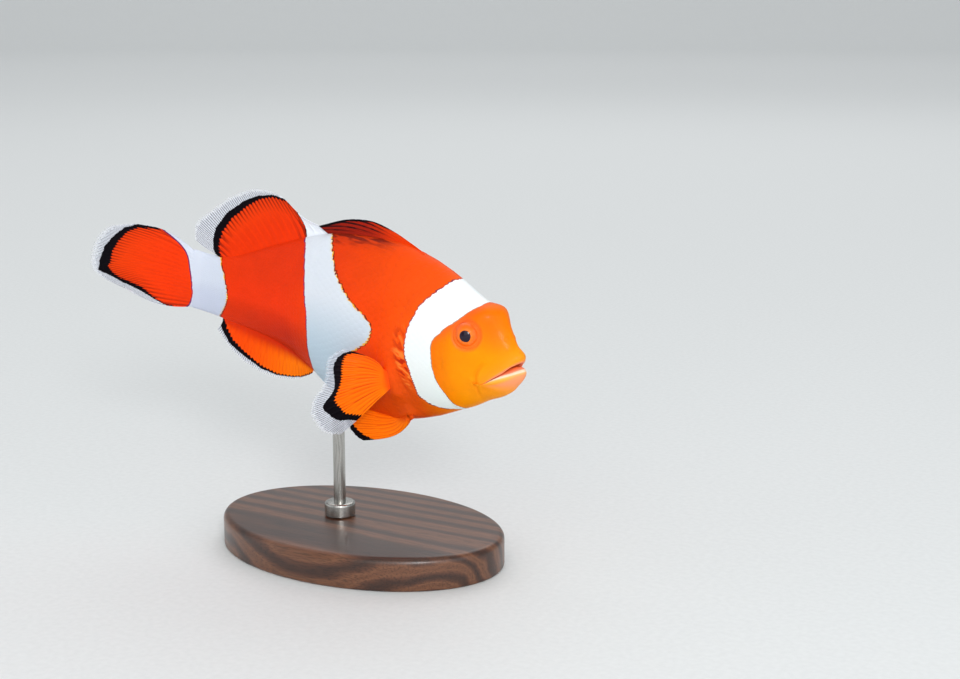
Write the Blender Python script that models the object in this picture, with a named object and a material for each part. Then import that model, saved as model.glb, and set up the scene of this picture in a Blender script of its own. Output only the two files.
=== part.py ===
"""A clownfish (Amphiprion ocellaris) as a life-size still model on a plain display stand.

The fish is shaped in its own straight coordinates, in shares of its standard length:
    back   distance behind the tip of the snout
    side   distance from the mid-plane, positive on the fish's right
    up     height above the line from the snout to the middle of the tail stalk
place() bends that straight fish, tips it nose down and sets it over the stand, in metres, +Z up.
The fish faces +X. The origin is the centre of the underside of the stand's base.
"""

import math

import bmesh
import bpy
from mathutils import Matrix, Vector

# ---- Driving dimensions, in metres and radians ----
STANDARD_LENGTH = 0.070  # snout to the root of the tail fin
AXIS_HEIGHT = 0.0435  # body axis above the table, at the balance point
BALANCE = 0.50  # share of the length that stands over the middle of the base
NOSE_DOWN = math.radians(6.0)
HEAD_TURN = math.radians(8.0)  # head and tail both swing to the fish's right
TAIL_TURN = math.radians(15.0)
GAP = 0.0003  # clearance between neighbouring solids
GAP_SHARE = GAP / STANDARD_LENGTH

BASE_LENGTH, BASE_WIDTH, BASE_HEIGHT = 0.056, 0.038, 0.006
BASE_BEVEL = 0.0012
BASE_SOCKET = 0.0035  # depth of the hole that the rod stands in
ROD_RADIUS = 0.0011
ROD_AT = 0.545  # share of the length where the rod meets the belly
ROD_DEPTH = 0.004  # how far the rod reaches into the body
COLLAR_RADIUS, COLLAR_HEIGHT = 0.0028, 0.0024

# ---- Body outline: (back, value) in shares of the standard length ----
BACK_LINE = (
    (0.16, 0.135), (0.22, 0.165), (0.30, 0.195), (0.38, 0.209), (0.47, 0.211),
    (0.56, 0.203), (0.66, 0.179), (0.78, 0.132), (0.89, 0.089), (0.95, 0.087), (1.02, 0.099),
)
BELLY_LINE = (
    (0.17, -0.167), (0.24, -0.201), (0.32, -0.227), (0.41, -0.236), (0.50, -0.226),
    (0.565, -0.203), (0.625, -0.162), (0.70, -0.123), (0.80, -0.098), (0.90, -0.081), (0.96, -0.071), (1.02, -0.063),
)
HALF_WIDTH = (
    (0.16, 0.085), (0.24, 0.095), (0.34, 0.098), (0.46, 0.091), (0.60, 0.072),
    (0.75, 0.047), (0.88, 0.028), (1.02, 0.0125),
)

# ---- Sections of the face, from the gullet out over the lips and back to the nape ----
# top back, top up, side back, side up, bottom back, bottom up, half width, lean
# "lean" is how the section sweeps from its side forward to the mid-plane: 1 straight, 2 rounded.
FACE = {
    "gullet": (0.048, -0.018, 0.066, -0.046, 0.046, -0.028, 0.014, 1.5),
    "palate": (0.022, -0.012, 0.074, -0.063, 0.018, -0.019, 0.032, 1.2),
    "lip_inner": (0.009, -0.008, 0.078, -0.071, 0.003, -0.015, 0.042, 1.1),
    "lip_crest": (0.001, -0.001, 0.081, -0.073, -0.006, -0.022, 0.048, 1.1),
    "lip_outer": (0.001, 0.015, 0.086, -0.074, -0.006, -0.038, 0.052, 1.15),
    "lip_root": (0.011, 0.026, 0.092, -0.072, 0.003, -0.058, 0.055, 1.3),
    "snout": (0.028, 0.041, 0.101, -0.062, 0.017, -0.078, 0.061, 1.6),
    "cheek": (0.049, 0.072, 0.118, -0.046, 0.046, -0.100, 0.068, 1.9),
    "orbit": (0.073, 0.105, 0.138, -0.028, 0.084, -0.119, 0.077, 2.0),
    "brow": (0.120, 0.117, 0.160, -0.017, 0.126, -0.145, 0.086, 2.0),
}
NAPE_LEAN = 2.0
NAPE = ((0.163, 0.187, 0.176), (0.197, 0.240, 0.205), (0.226, 0.290, 0.222))  # back at top, side, bottom
GILL_OPENING = (0.247, 0.322, 0.236)  # rear edge of the gill covers: back at top, side, bottom
SHOULDER = (0.300, 0.350, 0.300)
TRUNK_STATIONS = (0.375, 0.415, 0.46, 0.505, 0.55, 0.595)
REAR_STATIONS = (0.595, 0.62, 0.65, 0.69, 0.74, 0.79, 0.84, 0.885)
STALK_STATIONS = (0.885, 0.92, 0.96, 1.0)
SIDE_UP = ((0.16, -0.014), (0.30, -0.006), (0.50, 0.004), (0.80, 0.010), (1.02, 0.005))
RING_POINTS = 26
FULLNESS = 1.08  # above 1 the section is a little slimmer than an ellipse along back and belly

# ---- Eyes ----
EYE = (0.1320, 0.0515, 0.0445)  # back, side, up of the eyeball's centre
EYE_RADIUS = 0.033

# ---- Soft swellings of the skull: (back, up, reach, how far out, how far up) ----
SWELLINGS = (
    (0.130, 0.047, 0.042, 0.006, 0.000),
    (0.098, 0.094, 0.030, 0.007, 0.009),
)

# ---- Fins of the mid-plane; "rim" is (place along the fin 0 to 1, back, up) ----
# wave: sway of the rim to either side; bow: how much the outer rays curve away from the fin
SPINY_DORSAL = {
    "root": (0.318, 0.602), "on": "back", "spokes": 9, "rows": 2, "root_thick": 0.0016, "wave": 0.0, "bow": 0.0,
    "rim": ((0.0, 0.352, 0.213), (0.2, 0.409, 0.236), (0.45, 0.478, 0.251), (0.7, 0.549, 0.243), (1.0, 0.616, 0.222)),
}
SOFT_DORSAL = {
    "root": (0.606, 0.925), "on": "back", "spokes": 13, "rows": 4, "root_thick": 0.0015, "wave": 0.010, "bow": 0.004,
    "rim": (
        (0.0, 0.622, 0.211), (0.12, 0.690, 0.232), (0.22, 0.750, 0.270), (0.38, 0.826, 0.280),
        (0.55, 0.895, 0.254), (0.72, 0.955, 0.208), (0.87, 1.000, 0.162), (1.0, 0.998, 0.121),
    ),
}
ANAL = {
    "root": (0.618, 0.905), "on": "belly", "spokes": 12, "rows": 3, "root_thick": 0.0014, "wave": -0.008, "bow": 0.003,
    "rim": (
        (0.0, 0.631, -0.178), (0.2, 0.672, -0.203), (0.4, 0.735, -0.212), (0.6, 0.800, -0.200),
        (0.8, 0.868, -0.168), (1.0, 0.925, -0.115),
    ),
}
TAIL_FIN = {
    "root": (0.090, -0.064), "on": "stalk", "spokes": 14, "rows": 5, "root_thick": 0.0016, "wave": 0.012, "bow": 0.019,
    "rim": (
        (0.0, 1.185, 0.138), (0.15, 1.245, 0.122), (0.32, 1.285, 0.080), (0.5, 1.305, 0.025),
        (0.68, 1.300, -0.008), (0.85, 1.262, -0.026), (1.0, 1.195, -0.038),
    ),
}
FIN_CLEARANCE = 0.00035  # from the body to the root of a mid-plane fin
WAVE_PHASE = 0.6  # radians, shifts the sway of a fin's rim along it
FIN_TIP_SHARE = 0.46  # thickness at the rim as a share of the thickness at the root
MEMBRANE_SHARE = 0.78  # thickness between two rays as a share of that on a ray

# ---- Paired fins ----
# root_top, root_bottom: back and up of the two ends of the root; lift: how far it stands off the skin
# out: how far it swings out from the flank, less by inner_share at the last ray; cup: how far its tip
# curves out; fan: lift of its first and last ray; length: (0 to 1, ray length)
# left_lift: how much higher the left pelvic fin holds its first ray
PECTORAL = {
    "root_top": (0.348, -0.082), "root_bottom": (0.340, -0.138), "out": math.radians(48.0), "lift": 0.010,
    "fan": (math.radians(23.0), math.radians(-50.0)), "spokes": 14, "rows": 5, "root_thick": 0.0019, "cup": 0.030,
    "length": (
        (0.0, 0.108), (0.15, 0.138), (0.37, 0.144), (0.47, 0.155), (0.58, 0.186), (0.7, 0.198), (0.9, 0.187),
        (1.0, 0.160),
    ),
}
PELVIC = {
    "root_back": (0.296, 0.344), "root_side": (0.044, 0.020), "out": math.radians(11.0), "inner_share": 0.7,
    "fan": (math.radians(-35.0), math.radians(-6.0)), "spokes": 6, "rows": 5, "root_thick": 0.0017, "lift": 0.011,
    "left_lift": math.radians(13.0), "length": ((0.0, 0.138), (0.3, 0.158), (0.6, 0.160), (1.0, 0.120)),
}


def clear_scene():
    for obj in list(bpy.data.objects):
        bpy.data.objects.remove(obj)


def smooth(points, x):
    """Height at x of the smooth curve through (x, height) points; it goes on straight past its ends."""
    count = len(points)
    i = 0
    while i < count - 2 and x > points[i + 1][0]:
        i += 1
    (x0, y0), (x1, y1) = points[i], points[i + 1]
    span = x1 - x0
    rise = (y1 - y0) / span
    before = (y0 - points[i - 1][1]) / (x0 - points[i - 1][0]) if i > 0 else rise
    after = (points[i + 2][1] - y1) / (points[i + 2][0] - x1) if i < count - 2 else rise
    t = (x - x0) / span
    if t < 0:
        return y0 + (rise + before) / 2 * (x - x0)
    if t > 1:
        return y1 + (rise + after) / 2 * (x - x1)
    slope0, slope1 = (rise + before) / 2 * span, (rise + after) / 2 * span
    return (
        y0 * (1 + 2 * t) * (1 - t) ** 2
        + slope0 * t * (1 - t) ** 2
        + y1 * t * t * (3 - 2 * t)
        + slope1 * t * t * (t - 1)
    )


def ease(x, start, end):
    t = min(1.0, max(0.0, (x - start) / (end - start)))
    return t * t * (3 - 2 * t)


# ---- The bend of the backbone, walked in small steps from the snout ----
SPINE_STEPS, SPINE_REACH = 150, 1.5


def heading(back):
    """Direction of the body axis: minus turns the nose, and plus the tail, to the fish's right."""
    return TAIL_TURN * ease(back, 0.55, 1.05) - HEAD_TURN * (1 - ease(back, 0.05, 0.45))


def walk_spine():
    points = [Vector((0, 0))]
    step = SPINE_REACH / SPINE_STEPS
    for k in range(SPINE_STEPS):
        angle = heading((k + 0.5) * step)
        points.append(points[-1] - step * Vector((math.cos(angle), math.sin(angle))))
    return points


SPINE = walk_spine()


def spine_at(back):
    place_in_table = min(max(back, 0.0) * SPINE_STEPS / SPINE_REACH, SPINE_STEPS - 1.001)
    k = int(place_in_table)
    point = SPINE[k].lerp(SPINE[k + 1], place_in_table - k)
    if back < 0:
        angle = heading(0)
        point = point - back * Vector((math.cos(angle), math.sin(angle)))
    return point


def place(back, side, up):
    """A point of the straight fish, in shares of its length, moved to its place on the stand, in metres."""
    angle = heading(back)
    centre = spine_at(back) - spine_at(BALANCE)
    point = Vector((centre.x + side * math.sin(angle), centre.y - side * math.cos(angle), up))
    tipped = Matrix.Rotation(NOSE_DOWN, 3, "Y") @ point
    return tipped * STANDARD_LENGTH + Vector((0, 0, AXIS_HEIGHT))


# ---- Sections ----
def swelling(back, up):
    """How far out and up the skull's swellings push the skin at this place."""
    out = rise = 0.0
    for centre_back, centre_up, reach, push_out, push_up in SWELLINGS:
        near = math.exp(-((back - centre_back) ** 2 + (up - centre_up) ** 2) / reach**2)
        out += push_out * near
        rise += push_up * near
    return out, rise


def body_section(back_top, back_side, back_bottom, lean=NAPE_LEAN):
    return (
        back_top, smooth(BACK_LINE, back_top), back_side, smooth(SIDE_UP, back_side),
        back_bottom, smooth(BELLY_LINE, back_bottom), smooth(HALF_WIDTH, back_side), lean,
    )


def midway(first, second):
    return tuple((a + b) / 2 for a, b in zip(first, second))


def between(rows):
    """The sections with one more between each two, on the smooth curve through their neighbours."""
    filled = [rows[0]]
    for i in range(len(rows) - 1):
        before, after = rows[max(i - 1, 0)], rows[min(i + 2, len(rows) - 1)]
        middle = tuple(
            (9 * (a + b) - (p + q)) / 16 for p, a, b, q in zip(before, rows[i], rows[i + 1], after)
        )
        filled += [middle, rows[i + 1]]
    return filled


def ring_points(section, shift=0.0):
    """The section as points of the straight fish, from the top down the right side and up the left."""
    top_back, top_up, side_back, side_up, low_back, low_up, half, lean = section
    points = []
    for k in range(RING_POINTS):
        angle = 2 * math.pi * k / RING_POINTS
        rise, out = math.cos(angle), math.sin(angle)
        end_back, end_up = (top_back, top_up) if rise > 0 else (low_back, low_up)
        back = side_back + (end_back - side_back) * abs(rise) ** lean
        up = side_up + (end_up - side_up) * abs(rise)
        side = half * math.copysign(abs(out) ** FULLNESS, out)
        swell_out, swell_up = swelling(back, up) if abs(out) > 0.01 else (0.0, 0.0)
        points.append((back + shift, side + math.copysign(swell_out, side), up + swell_up))
    return points


def skin_point(back, up, lift=0.0):
    """A point of the right flank at that place, or so far outside the flank."""
    top, low, middle = smooth(BACK_LINE, back), smooth(BELLY_LINE, back), smooth(SIDE_UP, back)
    reach = (top if up > middle else low) - middle
    rise = min(1.0, abs((up - middle) / reach))
    half = smooth(HALF_WIDTH, back) * math.sqrt(1 - rise * rise) ** FULLNESS
    return back, half + lift, up


# ---- Turning meshes into objects ----
def material(name, colour, roughness, metallic=0.0):
    made = bpy.data.materials.new(name)
    made.use_nodes = True
    shader = made.node_tree.nodes["Principled BSDF"]
    shader.inputs["Base Color"].default_value = (*colour, 1.0)
    shader.inputs["Roughness"].default_value = roughness
    shader.inputs["Metallic"].default_value = metallic
    return made


def add_object(name, bm, made_of, smooth_angle=math.radians(50)):
    bmesh.ops.recalc_face_normals(bm, faces=bm.faces[:])
    mesh = bpy.data.meshes.new(name)
    bm.to_mesh(mesh)
    bm.free()
    mesh.shade_smooth()
    mesh.set_sharp_from_angle(angle=smooth_angle)
    mesh.materials.append(made_of)
    obj = bpy.data.objects.new(name, mesh)
    bpy.context.scene.collection.objects.link(obj)
    return obj


def boolean(obj, other, operation):
    cut = obj.modifiers.new(operation.lower(), "BOOLEAN")
    cut.operation = operation
    cut.solver = "EXACT"
    cut.object = other
    other.hide_render = True
    other.display_type = "WIRE"


def loft(name, sections, made_of, start_shift=0.0):
    """A closed solid through the sections, capped by a fan at each end."""
    bm = bmesh.new()
    rings = []
    for i, section in enumerate(sections):
        shift = start_shift if i == 0 else 0.0
        rings.append([bm.verts.new(place(*point)) for point in ring_points(section, shift)])
    for first, second in zip(rings, rings[1:]):
        edges = [
            bm.edges.get((ring[k - 1], ring[k])) or bm.edges.new((ring[k - 1], ring[k]))
            for ring in (first, second)
            for k in range(RING_POINTS)
        ]
        bmesh.ops.bridge_loops(bm, edges=edges)
    for ring, section, shift in ((rings[0], sections[0], start_shift), (rings[-1], sections[-1], 0.0)):
        hub = bm.verts.new(place(section[2] + shift, 0.0, section[3]))
        for k in range(RING_POINTS):
            bm.faces.new((ring[k - 1], ring[k], hub))
    return add_object(name, bm, made_of)


def ball(name, centre, radius, made_of, segments=20, rings=12):
    bm = bmesh.new()
    bmesh.ops.create_uvsphere(bm, u_segments=segments, v_segments=rings, radius=radius * STANDARD_LENGTH)
    facing = Matrix.Rotation(math.radians(90), 4, "X")
    bmesh.ops.transform(bm, matrix=Matrix.Translation(place(*centre)) @ facing, verts=bm.verts[:])
    return add_object(name, bm, made_of)


def fin(name, columns, rows, point_at, root_thick, made_of):
    """A fin from its middle surface, thickest at the root, with a ridge along each ray."""
    bm = bmesh.new()
    bmesh.ops.create_grid(bm, x_segments=columns, y_segments=rows, size=0.5)
    weights = {}
    for vert in bm.verts:
        along, out = vert.co.x + 0.5, vert.co.y + 0.5
        on_ray = round(along * columns) % 2 == 0
        weight = 1 - out * (1 - FIN_TIP_SHARE)
        weights[vert.index] = weight * (1.0 if on_ray else MEMBRANE_SHARE)
        vert.co = point_at(along, out)
    obj = add_object(name, bm, made_of)
    group = obj.vertex_groups.new(name="thickness")
    for index, weight in weights.items():
        group.add([index], weight, "REPLACE")
    shell = obj.modifiers.new("thickness", "SOLIDIFY")
    shell.thickness = root_thick
    shell.offset = 0.0
    shell.vertex_group = group.name
    shell.use_rim = True
    return obj


# ---- The fish ----
def head_sections():
    face = list(FACE.values())
    nape = [body_section(*backs) for backs in NAPE]
    return between(face + nape + [body_section(*GILL_OPENING)])


def make_head(flesh):
    head = loft("head", head_sections(), flesh)
    for side_name, sign in (("right", 1), ("left", -1)):
        centre = (EYE[0], sign * EYE[1], EYE[2])
        boolean(head, ball(f"socket_{side_name}", centre, EYE_RADIUS + GAP_SHARE, flesh), "DIFFERENCE")
    return head


def make_body(flesh, white):
    gill = body_section(*GILL_OPENING)
    shoulder = body_section(*SHOULDER)
    trunk = [gill, midway(gill, shoulder), shoulder] + [body_section(b, b, b) for b in TRUNK_STATIONS]
    rear = [body_section(b, b, b) for b in REAR_STATIONS]
    stalk = [body_section(b, b, b) for b in STALK_STATIONS]
    return (
        loft("trunk", trunk, flesh, GAP_SHARE),
        loft("trunk_rear", rear, flesh, GAP_SHARE),
        loft("tail_stalk", stalk, white, GAP_SHARE),
    )


def midline_fin(name, shape, made_of):
    start, end = shape["root"]
    clearance = FIN_CLEARANCE / STANDARD_LENGTH
    rim_back = [(u, back) for u, back, _ in shape["rim"]]
    rim_up = [(u, up) for u, _, up in shape["rim"]]

    def point_at(along, out):
        spread = start + (end - start) * along
        if shape["on"] == "stalk":
            root = Vector((1.0 + clearance, spread))
        elif shape["on"] == "back":
            root = Vector((spread, smooth(BACK_LINE, spread) + clearance))
        else:
            root = Vector((spread, smooth(BELLY_LINE, spread) - clearance))
        rim = Vector((smooth(rim_back, along), smooth(rim_up, along)))
        middle = root.lerp(rim, out)
        ray = (rim - root).normalized()
        curve = shape["bow"] * math.sin(math.pi * out) * (1 - 2 * along) ** 3
        middle += curve * (Vector((-ray.y, ray.x)) if ray.x > 0 else Vector((ray.y, -ray.x)))
        sway = shape["wave"] * out * out * math.sin(2 * math.pi * along + WAVE_PHASE)
        return place(middle.x, sway, middle.y)

    return fin(name, 2 * shape["spokes"], shape["rows"], point_at, shape["root_thick"], made_of)


def pectoral_point(along, out, sign):
    top, bottom = PECTORAL["root_top"], PECTORAL["root_bottom"]
    back, up = (a + (b - a) * along for a, b in zip(top, bottom))
    root = Vector(skin_point(back, up, PECTORAL["lift"]))
    first, last = PECTORAL["fan"]
    dip = first + (last - first) * along
    swing = PECTORAL["out"]
    ray = Vector((math.cos(dip) * math.cos(swing), math.cos(dip) * math.sin(swing), math.sin(dip)))
    reach = out * smooth(PECTORAL["length"], along)
    cup = Vector((math.sin(swing), -math.cos(swing), 0)) * PECTORAL["cup"] * out * out
    back, side, up = root + ray * reach + cup
    return place(back, sign * side, up)


def pelvic_point(along, out, sign):
    back = PELVIC["root_back"][0] + (PELVIC["root_back"][1] - PELVIC["root_back"][0]) * along
    side = PELVIC["root_side"][0] + (PELVIC["root_side"][1] - PELVIC["root_side"][0]) * along
    half = smooth(HALF_WIDTH, back)
    depth = math.sqrt(1 - (side / half) ** 2)
    up = smooth(SIDE_UP, back) + (smooth(BELLY_LINE, back) - smooth(SIDE_UP, back)) * depth
    root = Vector((back, side, up - PELVIC["lift"]))
    first, last = PELVIC["fan"]
    first += PELVIC["left_lift"] if sign < 0 else 0
    dip = first + (last - first) * along
    swing = PELVIC["out"] * (1 - PELVIC["inner_share"] * along)
    ray = Vector((math.cos(dip) * math.cos(swing), math.cos(dip) * math.sin(swing), math.sin(dip)))
    back, side, up = root + ray * out * smooth(PELVIC["length"], along)
    return place(back, sign * side, up)


def make_fins(orange):
    midline_fin("dorsal_fin_spiny", SPINY_DORSAL, orange)
    midline_fin("dorsal_fin_soft", SOFT_DORSAL, orange)
    midline_fin("anal_fin", ANAL, orange)
    midline_fin("tail_fin", TAIL_FIN, orange)
    for side_name, sign in (("right", 1), ("left", -1)):
        for kind, shape, at in (("pectoral", PECTORAL, pectoral_point), ("pelvic", PELVIC, pelvic_point)):
            fin(
                f"{kind}_fin_{side_name}", 2 * shape["spokes"], shape["rows"],
                lambda along, out, at=at, sign=sign: at(along, out, sign), shape["root_thick"], orange,
            )


def make_eyes(eye):
    for side_name, sign in (("right", 1), ("left", -1)):
        ball(f"eye_{side_name}", (EYE[0], sign * EYE[1], EYE[2]), EYE_RADIUS, eye)


# ---- The stand ----
def rod_top():
    return place(ROD_AT, 0.0, smooth(BELLY_LINE, ROD_AT))


def cylinder(name, radius, low, high, centre, made_of, segments=24, bevel=0.0):
    bm = bmesh.new()
    bmesh.ops.create_cone(
        bm, cap_ends=True, segments=segments, radius1=radius, radius2=radius, depth=high - low
    )
    bmesh.ops.translate(bm, verts=bm.verts[:], vec=(centre.x, centre.y, (low + high) / 2))
    if bevel:
        rim = [e for e in bm.edges if all(v.co.z > (low + high) / 2 for v in e.verts)]
        bmesh.ops.bevel(
            bm, geom=rim, offset=bevel, segments=2, profile=0.5, affect="EDGES", material=-1
        )
    return add_object(name, bm, made_of, math.radians(30))


def make_stand(trunk, wood, steel):
    bm = bmesh.new()
    bmesh.ops.create_cone(bm, cap_ends=True, segments=64, radius1=0.5, radius2=0.5, depth=1)
    bmesh.ops.scale(bm, verts=bm.verts[:], vec=(BASE_LENGTH, BASE_WIDTH, BASE_HEIGHT))
    bmesh.ops.translate(bm, verts=bm.verts[:], vec=(0, 0, BASE_HEIGHT / 2))
    rim = [e for e in bm.edges if all(v.co.z > BASE_HEIGHT * 0.9 for v in e.verts)]
    bmesh.ops.bevel(
        bm, geom=rim, offset=BASE_BEVEL, segments=3, profile=0.5, affect="EDGES", material=-1
    )
    base = add_object("stand_base", bm, wood, math.radians(30))
    foot = rod_top()
    floor = BASE_HEIGHT + GAP
    socket_floor = BASE_HEIGHT - BASE_SOCKET
    cylinder("stand_rod", ROD_RADIUS, socket_floor + GAP, foot.z + ROD_DEPTH, foot, steel, 20)
    socket = cylinder("base_hole", ROD_RADIUS + GAP, socket_floor, 2 * BASE_HEIGHT, foot, steel, 20)
    boolean(base, socket, "DIFFERENCE")
    collar = cylinder("stand_collar", COLLAR_RADIUS, floor, floor + COLLAR_HEIGHT, foot, steel, 28, 0.0005)
    bore = cylinder("collar_bore", ROD_RADIUS + GAP, 0, floor + 2 * COLLAR_HEIGHT, foot, steel, 20)
    boolean(collar, bore, "DIFFERENCE")
    hole = cylinder("rod_hole", ROD_RADIUS + GAP, floor, foot.z + ROD_DEPTH + GAP, foot, steel, 20)
    boolean(trunk, hole, "DIFFERENCE")


def main():
    clear_scene()
    orange = material("orange_skin", (0.86, 0.16, 0.02), 0.45)
    head_orange = material("face_skin", (1.0, 0.33, 0.01), 0.45)
    white = material("white_band", (0.80, 0.86, 0.92), 0.45)
    fin_orange = material("fin_membrane", (0.95, 0.20, 0.01), 0.40)
    eye = material("eye", (0.95, 0.25, 0.02), 0.10)
    wood = material("stand_walnut", (0.10, 0.045, 0.022), 0.35)
    steel = material("stand_steel", (0.62, 0.61, 0.59), 0.25, 1.0)
    make_head(head_orange)
    trunk, _, _ = make_body(orange, white)
    make_fins(fin_orange)
    make_eyes(eye)
    make_stand(trunk, wood, steel)


main()
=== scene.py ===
import functools
import math

import bmesh
import bpy
import numpy as np
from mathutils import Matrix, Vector


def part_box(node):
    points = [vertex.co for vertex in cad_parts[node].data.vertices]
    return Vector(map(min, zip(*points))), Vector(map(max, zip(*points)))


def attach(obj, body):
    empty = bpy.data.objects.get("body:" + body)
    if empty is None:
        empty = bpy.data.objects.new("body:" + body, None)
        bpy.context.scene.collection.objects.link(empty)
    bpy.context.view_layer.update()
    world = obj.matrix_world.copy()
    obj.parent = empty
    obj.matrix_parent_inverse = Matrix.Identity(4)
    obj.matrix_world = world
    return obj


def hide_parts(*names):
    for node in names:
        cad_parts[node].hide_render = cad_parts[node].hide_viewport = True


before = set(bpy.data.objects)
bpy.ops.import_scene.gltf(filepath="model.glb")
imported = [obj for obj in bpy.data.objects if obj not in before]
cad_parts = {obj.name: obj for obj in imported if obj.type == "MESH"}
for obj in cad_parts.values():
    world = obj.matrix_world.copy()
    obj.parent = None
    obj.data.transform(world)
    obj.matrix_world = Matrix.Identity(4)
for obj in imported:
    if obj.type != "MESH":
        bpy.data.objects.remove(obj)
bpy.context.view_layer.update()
print("frame loaded:", len(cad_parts), "nodes")

# The fish is shaped in its own straight coordinates, in shares of its standard length:
# back from the snout, side to its right, up from its axis. placed() bends it and sets it on the stand.
fish = {
    "length": 0.070,  # metres, snout to root of tail fin
    "axisHeight": 0.0435,
    "balance": 0.50,
    "noseDown": math.radians(6),
    "headTurn": math.radians(8),
    "tailTurn": math.radians(15),
    "fullness": 1.08,
}
millimetres = 1000 * fish["length"]  # one share of the length, in millimetres

bodyLines = {
    "back": ((.16, .135), (.22, .165), (.30, .195), (.38, .209), (.47, .211), (.56, .203), (.66, .179),
             (.78, .132), (.89, .089), (.95, .087), (1.02, .099)),
    "belly": ((.17, -.167), (.24, -.201), (.32, -.227), (.41, -.236), (.50, -.226), (.565, -.203),
              (.625, -.162), (.70, -.123), (.80, -.098), (.90, -.081), (.96, -.071), (1.02, -.063)),
    "width": ((.16, .085), (.24, .095), (.34, .098), (.46, .091), (.60, .072), (.75, .047), (.88, .028),
              (1.02, .0125)),
    "middle": ((.16, -.014), (.30, -.006), (.50, .004), (.80, .010), (1.02, .005)),
}

# Sections of the face from the gullet over the lips to the brow:
# top back, top up, side back, side up, bottom back, bottom up, half width, lean
faceSections = (
    (.048, -.020, .066, -.048, .046, -.026, .014, 1.5),
    (.022, -.0125, .074, -.065, .018, -.0165, .032, 1.2),
    (.009, -.008, .078, -.071, .003, -.015, .042, 1.1),
    (.001, -.001, .081, -.073, -.006, -.022, .048, 1.1),
    (.001, .015, .086, -.074, -.006, -.038, .052, 1.15),
    (.011, .026, .092, -.072, .003, -.058, .055, 1.3),
    (.028, .041, .101, -.062, .017, -.078, .061, 1.6),
    (.049, .072, .118, -.046, .046, -.100, .068, 1.9),
    (.073, .105, .138, -.028, .084, -.119, .077, 2.0),
    (.120, .117, .160, -.017, .126, -.145, .086, 2.0),
)
# Further back a section is where it stands at the top, side and bottom of the body outline.
bodySections = [(.163, .187, .176), (.197, .240, .205), (.226, .290, .222), (.247, .322, .236),
                (.300, .350, .300)]
bodySections += [(b, b, b) for b in
                 (.375, .415, .46, .505, .55, .595, .62, .65, .69, .74, .79, .84, .885, .92, .96, 1.0)]
gillRow = 13  # rear edge of the gill covers
skullSwellings = ((.130, .047, .042, .006, .000), (.098, .094, .030, .007, .009))  # back, up, reach, out, up


# the smooth curve through (x, height) points, straight past its ends
def smooth(points, x):
    knots, heights = np.array(points, float).T
    x = np.asarray(x, float)
    rise = np.diff(heights) / np.diff(knots)
    slope = np.concatenate(([rise[0]], (rise[:-1] + rise[1:]) / 2, [rise[-1]]))
    i = np.clip(np.searchsorted(knots, x) - 1, 0, len(knots) - 2)
    span = knots[i + 1] - knots[i]
    t = (x - knots[i]) / span
    c = np.clip(t, 0, 1)
    inside = (heights[i] * (1 + 2 * c) * (1 - c) ** 2 + slope[i] * span * c * (1 - c) ** 2
              + heights[i + 1] * c * c * (3 - 2 * c) + slope[i + 1] * span * c * c * (c - 1))
    past = np.where(t > 1, slope[i + 1] * (x - knots[i + 1]), 0)
    return inside + past + np.where(t < 0, slope[i] * (x - knots[i]), 0)


def eased(x, start, end):
    t = np.clip((np.asarray(x, float) - start) / (end - start), 0, 1)
    return t * t * (3 - 2 * t)


def hump(x, centre, reach):
    return np.exp(-((x - centre) / reach) ** 2)


def heading(back):
    return fish["tailTurn"] * eased(back, .55, 1.05) - fish["headTurn"] * (1 - eased(back, .05, .45))


spineStep = .01
spineTable = np.arange(151) * spineStep
spineTurns = heading(spineTable[:-1] + spineStep / 2)
spineX = np.concatenate(([0], np.cumsum(-spineStep * np.cos(spineTurns))))
spineY = np.concatenate(([0], np.cumsum(-spineStep * np.sin(spineTurns))))


def spineAt(back):
    ahead, turn = np.minimum(back, 0), float(heading(0))
    return (np.interp(back, spineTable, spineX) - ahead * math.cos(turn),
            np.interp(back, spineTable, spineY) - ahead * math.sin(turn))


# straight fish coordinates to metres on the stand
def placed(back, side, up):
    turn, dip = heading(back), fish["noseDown"]
    (x, y), (middleX, middleY) = spineAt(back), spineAt(fish["balance"])
    x = x - middleX + side * np.sin(turn)
    y = y - middleY - side * np.cos(turn)
    tipped = np.stack((x * math.cos(dip) + up * math.sin(dip), y, up * math.cos(dip) - x * math.sin(dip)), -1)
    return tipped * fish["length"] + (0, 0, fish["axisHeight"])


def bodySection(top, side, low):
    return (top, smooth(bodyLines["back"], top), side, smooth(bodyLines["middle"], side),
            low, smooth(bodyLines["belly"], low), smooth(bodyLines["width"], side), 2.0)


sections = np.array(list(faceSections) + [bodySection(*backs) for backs in bodySections], float)
lastRow = len(sections) - 1
tailTaper = .050  # how far the flesh runs out over the root of the tail fin


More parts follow.
